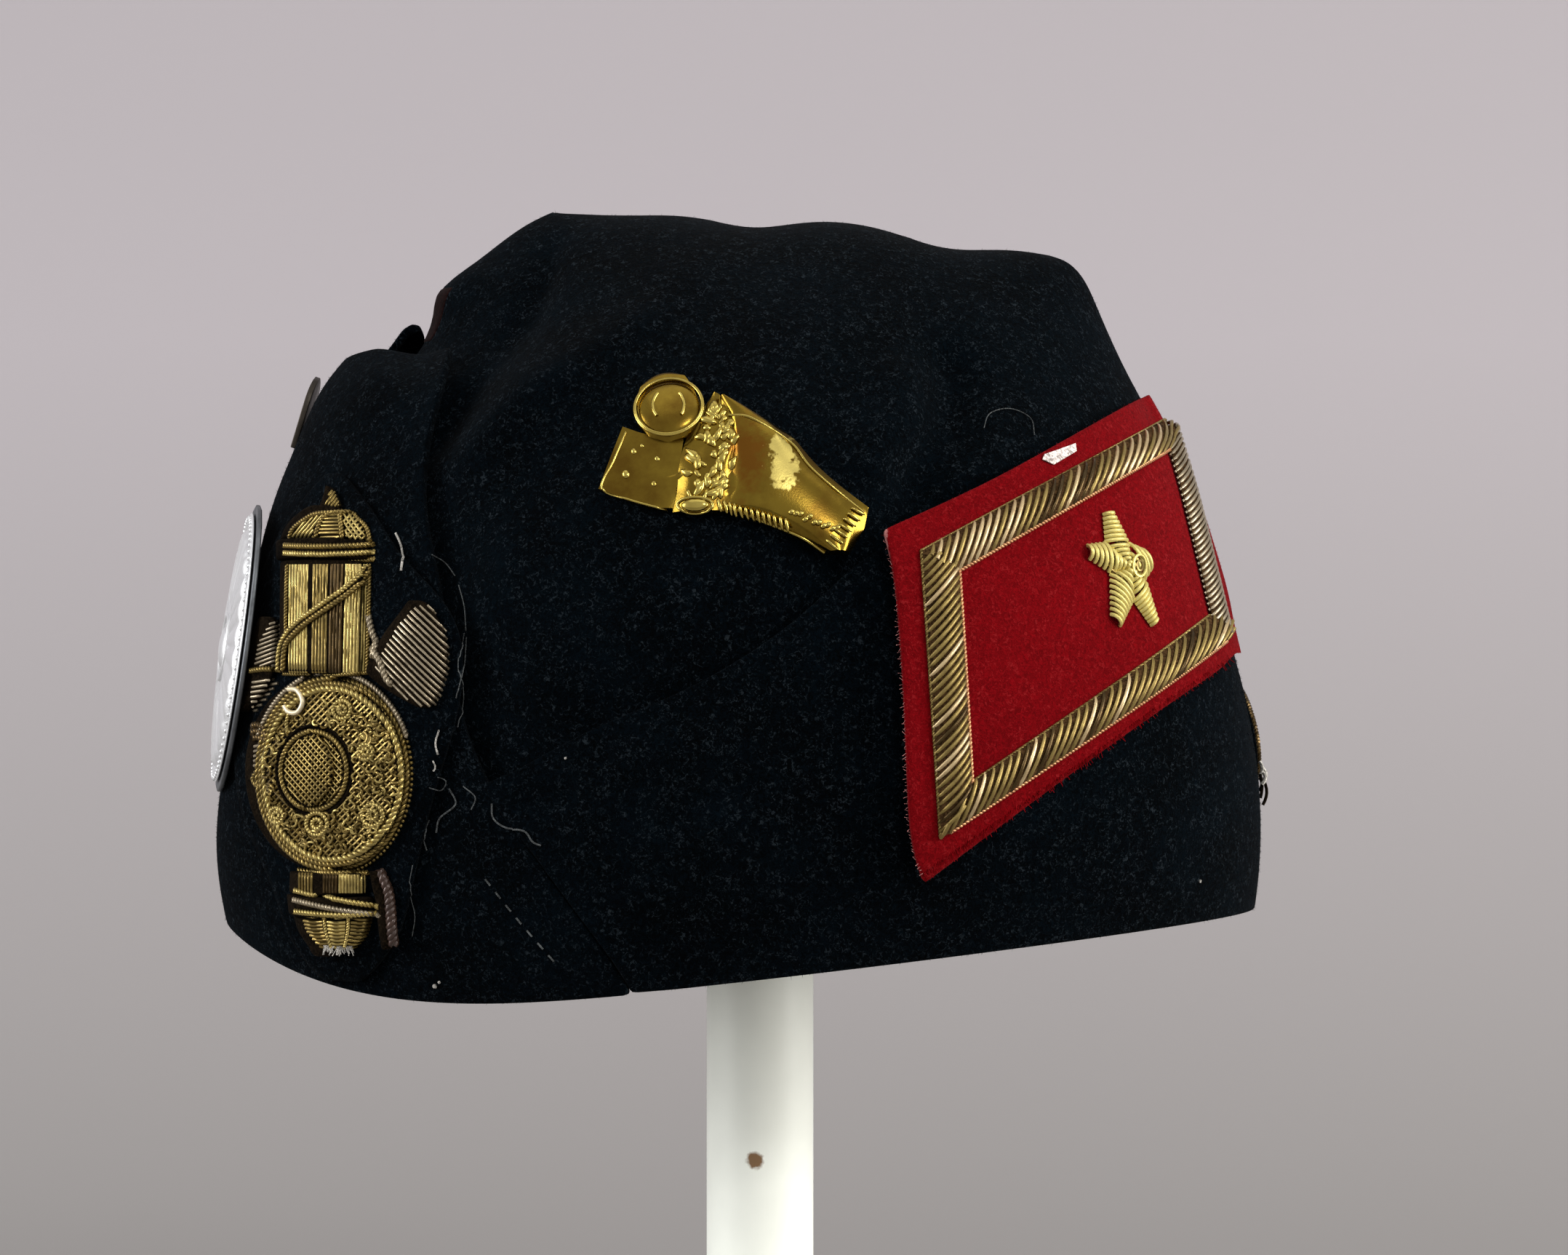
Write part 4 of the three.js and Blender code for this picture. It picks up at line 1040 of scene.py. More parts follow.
def bright_purl():
    body, dark = (0.86, 0.74, 0.50), (0.5, 0.4, 0.22)
    return metal_material("Bright purl", body, dark, 0.3, 400, (0.25, 0.45), 0.5, 0.03)


def dark_thread():
    body, lint = (0.0065, 0.0042, 0.0022), (0.030, 0.019, 0.009)
    return felt_material("Dark thread", body, lint, 0.3, 0.4, 0.2, 0.0, 0.03)


def white_thread():
    return felt_material("Pale loose thread", (0.42, 0.40, 0.36), (0.6, 0.6, 0.6), 0.3, 0.3, 0.1)


def grey_thread():
    return felt_material("Grey loose thread", (0.060, 0.066, 0.066), (0.12, 0.13, 0.13), 0.4, 0.3, 0.1)


def on_badge(*names):
    """The badge's paddings of these names, and its backing, as ground for wires."""
    return Ground(*[f"badge_{name}_padding" for name in names], "badge_backing_felt")


def across(table, rise, share):
    """The place at a share of a shape's width."""
    left, right = along(table, 0, rise, 1), along(table, 0, rise, 2)
    return left + (right - left) * share, rise


def spread(low, high, number_of):
    """Even steps between two values, half a step in from both."""
    return [low + (high - low) * (i + 0.5) / number_of for i in range(number_of)]


def uprights(table, shares, rises):
    """Lines up a shape at shares of its width."""
    return [[across(table, rise, share) for rise in rises] for share in shares]


def level_rows(table, number_of, low, high, sag=0.0):
    """Lines across a shape at even rises, between two shares of its width."""
    rows = []
    for rise in spread(table[0][0], table[-1][0], number_of):
        a, b = across(table, rise, low)[0], across(table, rise, high)[0]
        if b - a > 0.5:
            rows.append([(a, rise), ((a + b) / 2, rise - sag), (b, rise)])
    return rows


def slanted_rows(table, slope, pitch, low=0.0, high=1.0, inset=0.15, steps=80):
    """Slanted lines over a shape, between two shares of its width, cut off at its edges."""
    bottom, top = table[0][0], table[-1][0]
    first = min(row[1] for row in table)
    width = max(row[2] for row in table) - first
    rows = []
    start = bottom - abs(slope) * width
    while start < top + abs(slope) * width:
        run = []
        for i in range(steps + 1):
            x = first + width * i / steps
            rise = start + slope * (x - first)
            left, right = across(table, rise, low)[0] + inset, across(table, rise, high)[0] - inset
            if bottom < rise < top and left < x < right:
                run.append((x, rise))
        if len(run) > 3:
            rows.append(run)
        start += pitch
    return rows


def oval(shape, share=1.0, start=0.0, end=1.0, steps=72):
    """Places round an oval, from the rear going up, start and end as shares of a turn."""
    x, rise, half_width, half_height = shape
    return [
        (x + half_width * share * math.cos(t), rise + half_height * share * math.sin(t))
        for t in turns(steps, start, end)
    ]


def oval_table(shape, share=1.0, rows=16):
    """An oval as rows of a shape."""
    quarter = oval(shape, share, -0.25, 0.25, rows)
    return [(rise, 2 * shape[0] - right, right) for right, rise in quarter]


def lay_wires(name, ground, lines, radius, wire, lift=0.1, spacing=0.5, sides=6):
    """Plain wires on the badge along lines of places. The wire is a colour's name or a material."""
    paths = [ground.line(line, lift, spacing) for line in lines]
    return wires("badge_" + name, paths, radius, bullion_wire(wire) if wire in BULLION else wire, sides)


def lay_cords(name, ground, lines, reach, wire, pitch=None, number_of=2, lift=0.2):
    """Twisted cords on the badge along lines of places, of strands that touch."""
    wound = []
    for line in lines:
        wound += strands(ground.line(line, lift, 0.5), reach * MM, (pitch or reach * 5.5) * MM, number_of)
    return wires("badge_" + name, wound, reach * 1.12, bullion_wire(wire))


class CAP_OT_badge_felt(bpy.types.Operator):
    """Makes the badge's black felt backing"""

    bl_idname = "cap.badge_felt"
    bl_label = "Badge backing"

    def execute(self, context):
        dressed(
            "badge_backing", "badge_backing_felt", cap_felt(), 0.6,
            shaped=lambda backing: work_felt(backing, (), 0.12 * MM),
        )
        ground = Ground("badge_backing_felt", "crown_felt", "front_flap_felt")
        lay_wires("backing_edging", ground, BACKING_EDGES, 0.11, grey_thread())
        lay_wires("backing_tuft", ground, [BACKING_TUFT], 0.24, white_thread(), 0.2)
        return {"FINISHED"}


class CAP_OT_badge_shapes(bpy.types.Operator):
    """Makes the dark paddings under the badge's gold wires"""

    bl_idname = "cap.badge_shapes"
    bl_label = "Badge shapes"

    def execute(self, context):
        for part in PADDINGS:
            dressed("badge_" + part, f"badge_{part}_padding", dark_thread(), 0.4)
        return {"FINISHED"}


def lay_dome():
    """An upright hatched field, a ringed one and a crossed one, with cords between them."""
    ground = on_badge("dome")
    lay_wires("dome_left", ground, slanted_rows(DOME, 1.1, 0.95, 0.02, 0.31), 0.27, "satin")
    lay_wires("dome_middle", ground, level_rows(DOME, 8, 0.38, 0.64), 0.31, "gold")
    crossed = slanted_rows(DOME, -1.3, 1.3, 0.7, 0.98) + slanted_rows(DOME, 1.0, 1.2, 0.7, 0.98)
    lay_wires("dome_right", ground, crossed, 0.24, "satin")
    outline = [(left, rise) for rise, left, _ in DOME] + [(right, rise) for rise, _, right in reversed(DOME)]
    lines = [*uprights(DOME, (0.345, 0.67), DOME_RISES), outline]
    lay_cords("dome_cords", ground, lines, 0.26, "gold", lift=0.3)


def lay_column():
    """Upright wires in bands of painted light and shade, the column's edge cords and the slanting pair."""
    ground = on_badge("column")
    for k, (low, high, wire) in enumerate(COLUMN_BANDS):
        shares = spread(low, high, max(3, round((high - low) * 26)))
        lines = uprights(COLUMN, shares, (68.5, 79, 89.7))
        lay_wires(f"column_wires_{k}", ground, lines, 0.34, wire, 0.0, 1.0)
    lay_cords("column_cords", ground, COLUMN_EDGES, 0.24, "gold")
    for k, (shift_by, wire) in enumerate(SLANT_CORDS):
        line = [(x + shift_by * 0.66, rise - shift_by * 0.75) for x, rise in SLANT[:-2]]
        line += [(x + shift_by * 0.9, rise) for x, rise in SLANT[-2:]]
        lay_cords(f"slant_cord_{k}", ground, [line], 0.30, wire, lift=0.8)
    lay_wires("slant_shadow", ground, [SLANT], 0.6, dark_thread(), 0.25)


class CAP_OT_badge_tower(bpy.types.Operator):
    """Lays the wires of the badge's finial, dome, rings and column"""

    bl_idname = "cap.badge_tower"
    bl_label = "Badge tower"

    def execute(self, context):
        lay_wires("finial_wire", on_badge("finial"), slanted_rows(FINIAL, 1.6, 1.1), 0.28, "gold")
        lay_dome()
        rings = on_badge("top_rings")
        for k, (rise, wire) in enumerate(TOP_CORDS):
            line = [(x, rise + sag) for x, sag in TOP_CORD_SAG]
            lay_cords(f"top_cord_{k}", rings, [line], 0.3, wire, lift=0.12)
        lay_column()
        return {"FINISHED"}


def lay_left_coils():
    """The loose coils below the left lobe, on the edge of the backing."""
    ground = on_badge("medallion", "left_lobe")
    coils = []
    for k in range(3):
        coils.append([(-101.4 + 0.5 * k, 57.4 - 1.1 * k), (-99.6, 57.9 - 1.2 * k), (-97.4, 57.2 - 1.1 * k)])
    lay_cords("left_coils", ground, coils, 0.36, "shade", lift=0.3)
    places, drop = ((-100.2, 53.6), (-98.8, 53.9), (-97.4, 53.5)), 0.95
    silver = [[(x, rise - drop * k) for x, rise in places] for k in range(5)]
    lay_wires("left_silver", ground, silver, 0.34, "pale", 0.25)
    lay_cords("left_curl", ground, [LEFT_CURL], 0.3, "gold", lift=0.3)


class CAP_OT_badge_lobes(bpy.types.Operator):
    """Lays the ribs of the badge's two side lobes"""

    bl_idname = "cap.badge_lobes"
    bl_label = "Badge lobes"

    def execute(self, context):
        right = on_badge("right_lobe")
        lay_wires("right_ribs", right, slanted_rows(RIGHT_LOBE, -0.95, 1.35), 0.26, "pale")
        lay_cords("bridge_cord", right, BRIDGE, 0.36, "pale", lift=0.35)
        left = on_badge("left_lobe")
        lay_wires("left_hatching", left, slanted_rows(LEFT_LOBE_HIGH, 0.35, 0.85), 0.27, "pale")
        lay_wires("left_ribs", left, slanted_rows(LEFT_LOBE_LOW, 0.15, 0.95), 0.3, "pale")
        lay_cords("left_band", left, [LEFT_BAND], 0.3, "gold", lift=0.3)
        lay_left_coils()
        return {"FINISHED"}


def off_boss(x, rise, reach):
    """Whether a place is further from the boss than so many times its size."""
    return math.hypot((x - BOSS[0]) / BOSS[2], (rise - BOSS[1]) / BOSS[3]) > reach


def runs_off_boss(line):
    """The stretches of a line that lie clear of the boss."""
    runs = [[]]
    for place in line:
        if off_boss(*place, 1.12):
            runs[-1].append(place)
        else:
            runs.append([])
    return [run for run in runs if len(run) > 4]


def lay_ropes(ground):
    """The ropes and a thin cord round the medallion's edge, with beads outside them on the right."""
    for name, share, reach, wire, pitch, lift in ROPES:
        lay_cords(name, ground, [oval(MEDALLION, share)], reach, wire, pitch, lift=lift)
    lay_cords("upper_cord", ground, [oval(MEDALLION, 1.05, 0.06, 0.44)], 0.3, "pale", lift=0.3)
    around = ground.line(oval(MEDALLION, 1.045, -0.22, 0.07), 0.3, 0.5)
    places = [(p, Vector((0.2, -1, 0)).normalized()) for p in resample(around, 1.05 * MM)]
    finish_piece(beads("badge_beads", places, 0.42 * MM), bullion_wire("gold"))


def lay_purl(ground):
    """Bits of coil laid over the medallion's ground in curls."""
    chance = random.Random(21)
    x, rise, half_width, half_height = MEDALLION
    curls = ([], [])
    for k in range(330):
        turn, reach = chance.uniform(0, 2 * math.pi), math.sqrt(chance.uniform(0.12, 0.73))
        px, pr = x + half_width * reach * math.cos(turn), rise + half_height * reach * math.sin(turn)
        if not off_boss(px, pr, 1.2):
            continue
        if px < -84 and pr > 55 and chance.random() < 0.7:
            continue
        lean, bend, size = chance.uniform(0, 2 * math.pi), chance.uniform(1.2, 3.6), chance.uniform(0.55, 1.1)
        path = []
        for i in range(7):
            t, lift = lean + bend * i / 6, 0.35 + 0.25 * math.sin(math.pi * i / 6)
            path.append(ground.from_left(px + size * math.cos(t), pr + size * math.sin(t), lift)[0])
        curls[k % 3 == 0].append(path)
    for k, wire in enumerate(("gold", "satin")):
        wires(f"badge_purl_{k}", curls[k], 0.27, bullion_wire(wire))


def lay_boss(ground):
    """Steep hatching inside a rope, in a dark groove."""
    lay_wires("boss_hatching", ground, slanted_rows(oval_table(BOSS, 0.90), 1.15, 1.25), 0.27, "gold", 0.06)
    lay_wires("boss_crossing", ground, slanted_rows(oval_table(BOSS, 0.88), -1.0, 1.3), 0.22, "gold", 0.32)
    lay_cords("boss_rope", ground, [oval(BOSS, 0.98)], 0.3, "gold")
    lay_wires("boss_groove", ground, [oval(BOSS, 1.13)], 0.4, dark_thread(), 0.02)


class CAP_OT_badge_medallion(bpy.types.Operator):
    """Lays the medallion's ropes, hatched ground, purl, rings and boss"""

    bl_idname = "cap.badge_medallion"
    bl_label = "Badge medallion"

    def execute(self, context):
        ground = on_badge("medallion", "boss")
        lay_ropes(ground)
        field = oval_table(MEDALLION, 0.87)
        hatching = slanted_rows(field, 0.95, 1.25) + slanted_rows(field, -0.95, 1.7)
        hatching = [run for line in hatching for run in runs_off_boss(line)]
        lay_wires("field_hatching", ground, hatching, 0.27, "gold", 0.02, 0.6, 5)
        lay_purl(ground)
        rings = [(x, rise, size, size) for x, rise, size in RINGS]
        lines = [oval(ring, share, steps=20) for ring in rings for share in (1.0, 0.45)]
        lay_cords("rings", ground, lines, 0.26, "satin", lift=0.4)
        lay_wires("bright_hook", ground, [BRIGHT_HOOK], 0.52, bright_purl(), 0.8, 0.4, 8)
        lay_cords("ring_trail", ground, [HOOK_TRAIL], 0.24, "satin", lift=0.4)
        lay_boss(ground)
        return {"FINISHED"}


def fray_foot(ground):
    """Short frayed ends at the badge's foot."""
    chance = random.Random(22)
    paths = []
    for _ in range(40):
        x = chance.uniform(-85.4, -79.8)
        start = ground.from_left(x, 14.9 + 0.05 * abs(x + 82.5), 0.15)[0]
        way = Vector((chance.uniform(-0.7, 0.7), -0.35, -1)).normalized()
        end = start + way * chance.uniform(0.9, 2.2) * MM
        paths.append([start, (start + end) / 2 - Vector((0, 0.25 * MM, 0)), end])
    wires("badge_foot_fray", paths, 0.11, white_thread(), 4)


class CAP_OT_badge_foot(bpy.types.Operator):
    """Lays the wires of the badge's neck, lower rings, bulb and side cord"""

    bl_idname = "cap.badge_foot"
    bl_label = "Badge foot"

    def execute(self, context):
        ground = on_badge("neck", "low_rings", "bulb", "side_cord")
        for k, (first, last, wire) in enumerate(NECK_BANDS):
            places = spread(first, last, round((last - first) / 0.62))
            lines = [[(x, rise) for rise in (25.4, 27.2, 29.0)] for x in places]
            lay_wires(f"neck_wires_{k}", ground, lines, 0.32, wire, 0.0)
        for k, (wire, line) in enumerate(LOW_CORDS):
            lay_cords(f"low_cord_{k}", ground, [line], 0.3, wire, lift=0.18)
        for k, (low, high, wire) in enumerate(BULB_BANDS):
            lay_wires(f"bulb_stripes_{k}", ground, level_rows(BULB, 9, low, high, 0.15), 0.34, wire, 0.05)
        lay_cords("bulb_seams", ground, uprights(BULB, (0.335, 0.665), BULB_RISES), 0.2, "satin", lift=0.25)
        lay_cords("side_strands", ground, [SIDE_CORD], 0.58, "brown", 3.4, 3, 0.1)
        fray_foot(ground)
        return {"FINISHED"}


# Loose threads on the felt: radius and places in mm
PALE_THREADS = (
    (0.20, ((-61.9, 57.4), (-62.6, 54.8), (-62.1, 52.6))),
    (0.16, ((-63.1, 51.4), (-62.6, 50.2), (-63.0, 49.4))),
)
GREY_THREADS = (
    (0.14, ((-64.0, 39.8), (-65.2, 36.8), (-64.5, 33.9))),
    (0.09, ((-67.2, 31.1), (-68.0, 26.0), (-67.0, 21.2), (-67.6, 17.0))),
    (0.10, ((-57.2, 76.2), (-58.1, 70.0), (-57.3, 64.0), (-58.3, 57.9))),
    (0.17, ((-51.6, 43.2), (-51.3, 40.4), (-48.9, 38.6), (-45.2, 37.9), (-43.6, 35.9), (-42.0, 35.2))),
    (0.17, ((-60.0, 46.0), (-58.7, 43.0), (-61.9, 40.2), (-62.6, 37.4))),
    (0.13, ((-57.2, 46.5), (-54.8, 44.4), (-55.6, 42.0))),
    (0.12, ((-63.8, 46.2), (-61.6, 45.6), (-60.6, 47.4), (-62.4, 48.3))),
    (0.10, ((44.3, 116.4), (45.6, 119.4), (49.6, 120.4), (53.6, 118.6), (54.3, 115.2))),
)
# Specks of lint: x, rise and radius
WHITE_SPECKS = ((-63.3, 7.2, 0.55), (-62.4, 8.0, 0.35), (87.9, 26.7, 0.4), (-37.2, 52.1, 0.3))
STITCHES = ((-53.0, 28.5), (-46.5, 20.5), (-38.6, 11.4))


class CAP_OT_threads(bpy.types.Operator):
    """Makes the loose threads, specks of lint and stitches on the cap's felt"""

    bl_idname = "cap.threads"
    bl_label = "Loose threads"

    def execute(self, context):
        ground = Ground("crown_felt", "front_flap_felt", "ear_flap_left_felt", "badge_backing_felt")
        for name, threads, finish in (
            ("pale_threads", PALE_THREADS, white_thread()),
            ("grey_threads", GREY_THREADS, grey_thread()),
        ):
            pieces = [tubes(name, [ground.line(line, 0.3, 0.5)], radius * MM, 5) for radius, line in threads]
            finish_piece(join_pieces(pieces, name), finish)
        places = [(ground.from_left(x, rise, 0.1), size) for x, rise, size in WHITE_SPECKS]
        specks = [beads("speck", [place], size * MM, 0.7) for place, size in places]
        finish_piece(join_pieces(specks, "lint_specks"), white_thread())
        row = ground.line(STITCHES, 0.12, 0.8)
        stitches = [row[i : i + 3] for i in range(0, len(row) - 3, 4)]
        wires("flap_stitches", stitches, 0.2, grey_thread(), 5)
        return {"FINISHED"}

# ---- The red patch, its braid and its star ----

PATCH_CUT_FROM = -26.0  # the y from which the lower rear corner is cut off
PATCH_CUT_EDGE = ((31.0, 28.7), (28.5, 37.0), (25.0, 90.0))
PATCH_LOWER_EDGE = ((31.5, 29.6), (48, 40.9), (65, 52.4), (80, 62.6), (94, 70.6))
PATCH_LEFT_EDGE = ((31.2, 30.0), (28.7, 37.5), (27.5, 64), (25.8, 86), (23.9, 94))
SCRAP = ((55.6, 110.2), (57.9, 109.2), (62.6, 112.0), (62.4, 113.6), (60.6, 112.9), (56.0, 111.2))
# The braid's corners: upper left, upper right, lower right, lower left
BRAID_OUTER = ((31.4, 92.0), (84.5, 120.6), (94.8, 75.2), (35.0, 36.8))
BRAID_INNER = ((38.6, 88.2), (82.8, 113.2), (90.2, 79.6), (41.0, 47.4))
# Each band runs between two corners. Its ribs lie at so many degrees, their middles bow by so many
# mm and they stand so far apart.
BRAID_BANDS = ((3, 0, 50, 0.1, 1.15), (0, 1, 70, -0.3, 1.22), (2, 1, 62, 0.0, 0.77), (3, 2, 68, -0.4, 1.15))
STAR_MIDDLE = (72.3, 88.7)
STAR_POINTS = ((77.6, 90.9), (68.4, 100.7), (63.4, 92.3), (69.6, 77.5), (78.0, 77.5))
STAR_VALLEYS = ((72.6, 94.0), (68.0, 93.9), (68.9, 88.0), (73.5, 82.6), (75.9, 86.4))
STAR_PITCH = 0.92
STAR_RING = (73.6, 88.9, 2.1, 0.62, 2.2)  # x, rise, half height, share of it across, and lift


def braid_wire():
    body = settings("patch").braid
    return metal_material("Braid wire", body, (0.06, 0.035, 0.010), 0.5, 520, (0.36, 0.52), 0.75, 0.05)


def bright_braid():
    body, dark = (0.60, 0.46, 0.25), (0.20, 0.12, 0.045)
    return metal_material("Bright gold cord", body, dark, 0.5, 500, (0.3, 0.5), 0.7, 0.04)


def reddish_cord():
    body, dark = (0.58, 0.29, 0.13), (0.2, 0.06, 0.03)
    return metal_material("Reddish gold cord", body, dark, 0.5, 500, (0.3, 0.5), 0.6, 0.04)


def star_wire():
    body = settings("patch").star
    return metal_material("Yellow star wire", body, (0.34, 0.24, 0.06), 0.45, 480, (0.35, 0.55), 0.55, 0.05)


def brown_bed():
    body, lint = (0.048, 0.025, 0.010), (0.10, 0.06, 0.025)
    return felt_material("Brown braid bed", body, lint, 0.3, 0.4, 0.2, 0.0, 0.03)


def red_nap():
    body = tuple(c * 1.15 for c in settings("patch").red)
    return felt_material("Red nap", body, (0.34, 0.06, 0.06), 0.2, 0.3, 0.1, 0.02, 0.02, 0.3)


def edge_wool():
    return felt_material("Pale edge wool", settings("patch").cut_edge, (0.8, 0.6, 0.55), 0.4, 0.3, 0.1)


def white_scrap():
    return felt_material("White scrap", (0.68, 0.60, 0.55), (0.8, 0.8, 0.8), 0.3, 0.1, 0.15)


def red_felt():
    """Red felt with a pale cut edge on its left side."""
    if "Red wool felt" in bpy.data.materials:
        return bpy.data.materials["Red wool felt"]
    patch = settings("patch")
    made = felt_material("Red wool felt", patch.red, (0.34, 0.05, 0.05), 0.16, 0.10, 0.35, 0.02, 0.02, 0.25)
    tree = made.node_tree
    split = node(tree, "ShaderNodeSeparateXYZ", {0: node(tree, "ShaderNodeTexCoord").outputs["Object"]})
    x, z = split.outputs[0], split.outputs[2]
    borders = []
    for (x0, r0), (x1, r1) in zip(PATCH_CUT_EDGE, PATCH_CUT_EDGE[1:]):
        shifted = maths(tree, "SUBTRACT", z, (RIM + r0) * MM)
        borders.append(maths(tree, "ADD", maths(tree, "MULTIPLY", shifted, (x1 - x0) / (r1 - r0)), x0 * MM))
    border = maths(tree, "MAXIMUM", borders[0], borders[1])
    ragged = maths(tree, "MULTIPLY", noise(tree, coordinates(tree), 700, 4), 1.6 * MM)
    inside = maths(tree, "ADD", maths(tree, "SUBTRACT", x, border), ragged)
    paint_over(made, ramp(tree, inside, 1.15 * MM, 0.65 * MM), patch.cut_edge)
    return made


# The braid's ribs: their radius and finish
BRAID_RIBS = {
    "braid_ribs": (0.41, braid_wire),
    "braid_bright_ribs": (0.41, bright_braid),
    "braid_dark_ribs": (0.41, lambda: bullion_wire("shade")),
    # The rear band's pale ribs are a painted highlight, where the braid faces the light on the right
    "braid_rear_ribs": (0.34, lambda: bullion_wire("pale")),
}


def reach_corners(felt):
    """Raises the felt's upper rear corner, and cuts its lower rear corner off before the back."""
    crown, uncut = Ground("crown_felt"), Ground(felt.name)
    for v in felt.data.vertices:
        x, rise = v.co.x / MM, v.co.z / MM - RIM
        up = 1.8 * ease((x - 40) / 35) * ease((96 - x) / 8) * ease((rise - 92) / 22)
        if up > 0.01 and v.co.y < 0:
            v.co += crown.from_left(x, rise + up)[0] - crown.from_left(x, rise)[0]
        y, low = v.co.y / MM, clamp((119 - rise) / 44)
        if low and y > PATCH_CUT_FROM and x > 70:
            kept = PATCH_CUT_FROM + (y - PATCH_CUT_FROM) * (1 - 0.72 * low)
            before, after = uncut.from_back(y, rise), uncut.from_back(kept, rise)
            v.co += after - before


def fray_patch(ground):
    """Frayed ends along the felt's lower and left edges."""
    chance = random.Random(31)
    red, pale = [], []
    for p in spline([Vector((x, 0, r)) for x, r in PATCH_LOWER_EDGE], 0.28):
        start = ground.from_left(p.x + 0.3, p.z + 0.8, -0.2)[0]
        lean = Vector((chance.gauss(0.25, 0.5), -0.2 - chance.random() * 0.4, -1)).normalized()
        end = start + lean * chance.uniform(0.8, 2.4) * MM
        bend = (start + end) / 2 + Vector((chance.gauss(0, 0.15), -0.15, 0)) * MM
        red.append([start, bend, end])
    for p in spline([Vector((x, 0, r)) for x, r in PATCH_LEFT_EDGE], 0.7):
        start = ground.from_left(p.x + 0.5, p.z, 0.0)[0]
        lean = Vector((-0.8 + chance.gauss(0, 0.2), -0.5 * chance.random(), chance.gauss(0, 0.6)))
        lean.normalize()
        end = start + lean * chance.uniform(0.4, 1.0) * MM
        pale.append([start, (start + end) / 2, end])
    wires("patch_fray_red", red, 0.075, red_nap(), 4)
    wires("patch_fray_pale", pale, 0.065, edge_wool(), 4)


def lay_scrap():
    """A torn white scrap on the patch's upper edge."""
    both, n = Ground("patch_felt_cloth", "crown_felt"), len(SCRAP)
    points = [both.from_left(*corner, lift)[0] for lift in (0.5, 0.2) for corner in SCRAP]
    faces = [tuple(range(n)), tuple(reversed(range(n, 2 * n)))]
    faces += [(i, i + n, (i + 1) % n + n, (i + 1) % n) for i in range(n)]
    scrap = round_edges(mesh_piece("patch_scrap", points, faces), 0.08, 2)
    finish_piece(smooth(scrap, 40), white_scrap())


class CAP_OT_patch(bpy.types.Operator):
    """Makes the patch's red felt with its fibres, frayed edge and torn scrap"""

    bl_idname = "cap.patch"
    bl_label = "Patch"

    def execute(self, context):
        felt = copy_of_node("patch_felt", "patch_felt_cloth", 0.85)
        reach_corners(felt)
        work_felt(subdivide(felt, 3), (), 0.2 * MM)
        finish_piece(smooth(felt), red_felt(), ["patch_felt"])
        fibres = nap("patch_nap", felt, 26000, 32, 0.8 * MM)
        finish_piece(fibres, red_nap())
        fray_patch(Ground(felt.name))
        lay_scrap()
        return {"FINISHED"}


def on_braid(base, x, rise, w, sunk=0.0):
    """A point on the braid, at a share from its outer to its inner edge."""
    height = settings("patch").braid_height
    p, normal = base.from_left(x, rise)
    return p + normal * (0.3 * MM + (height - sunk) * math.sin(math.pi * w) ** 0.7 - sunk * 0.5)


def make_bed(base):
    """The low brown bed that the ribs lie on."""
    points, faces, steps, parts = [], [], 8, 24
    for k in range(4):
        (a, b), (c, d) = ((corners[k], corners[(k + 1) % 4]) for corners in (BRAID_OUTER, BRAID_INNER))
        for i in range(parts):
            outer, inner = between(a, b, i / parts), between(c, d, i / parts)
            for step in range(steps + 1):
                w = 0.03 + 0.94 * step / steps
                points.append(on_braid(base, *between(outer, inner, w), w, 0.45 * MM))
    for i in range(4 * parts):
        one, two = i * (steps + 1), (i + 1) % (4 * parts) * (steps + 1)
        faces += [(one + w, two + w, two + w + 1, one + w + 1) for w in range(steps)]
    bed = apply_modifier(mesh_piece("braid_bed", points, faces), "SOLIDIFY", thickness=0.5 * MM, offset=-1)
    finish_piece(smooth(bed, 60), brown_bed(), ["patch_braid"])


def cross_2d(a, b):
    return a[0] * b[1] - a[1] * b[0]


def rib_line(outer, inner, root, lean, push, ground):
    """A rib over one band, from its outer to its inner edge, cut off at the mitres."""
    path = []
    for k in range(13):
        w = k / 12
        low, high = outer[0] + (inner[0] - outer[0]) * w, outer[1] + (inner[1] - outer[1]) * w
        t = cross_2d(low - root, high - low) / cross_2d(lean, high - low)
        spot = root + lean * t + push * math.sin(math.pi * w)
        share = np.dot(spot - low, high - low) / np.dot(high - low, high - low)
        if -0.02 < share < 1.02:
            path.append(on_braid(ground, *spot, w))
    return path


def lay_ribs(base):
    """The braid's ribs in their four tones, band by band: three mixed at random, and pale ones as painted
    highlight on the rear band.
    """
    chance = random.Random(33)
    ribs = {name: [] for name in BRAID_RIBS}
    mixed = list(BRAID_RIBS)[:3]
    for first, last, angle, bow, pitch in BRAID_BANDS:
        sides = (BRAID_OUTER, BRAID_INNER)
        outer, inner = ([np.array(corners[k]) for k in (first, last)] for corners in sides)
        lean = np.array((math.cos(math.radians(angle)), math.sin(math.radians(angle))))
        run = np.linalg.norm(outer[1] - outer[0])
        onward = (outer[1] - outer[0]) / run
        start = -12.0
        while start < run + 12.0:
            root = outer[0] + onward * (start + chance.uniform(-0.08, 0.08))
            path = rib_line(outer, inner, root, lean, onward * bow, base)
            if len(path) > 3:
                name = chance.choices(mixed, (64, 24, 12))[0]
                # the rear band takes the pale ribs of painted highlight
                ribs["braid_rear_ribs" if first == 2 else name].append(path)
            start += pitch / abs(cross_2d(lean, onward))
    for (name, (radius, finish)), paths in zip(BRAID_RIBS.items(), ribs.values()):
        wires(name, paths, radius, finish())


def straight(base, a, b, lift):
    """Places on the patch from one corner to another."""
    n = int(math.dist(a, b) / 0.8)
    return [base.from_left(*between(a, b, i / n), lift)[0] for i in range(n + 1)]


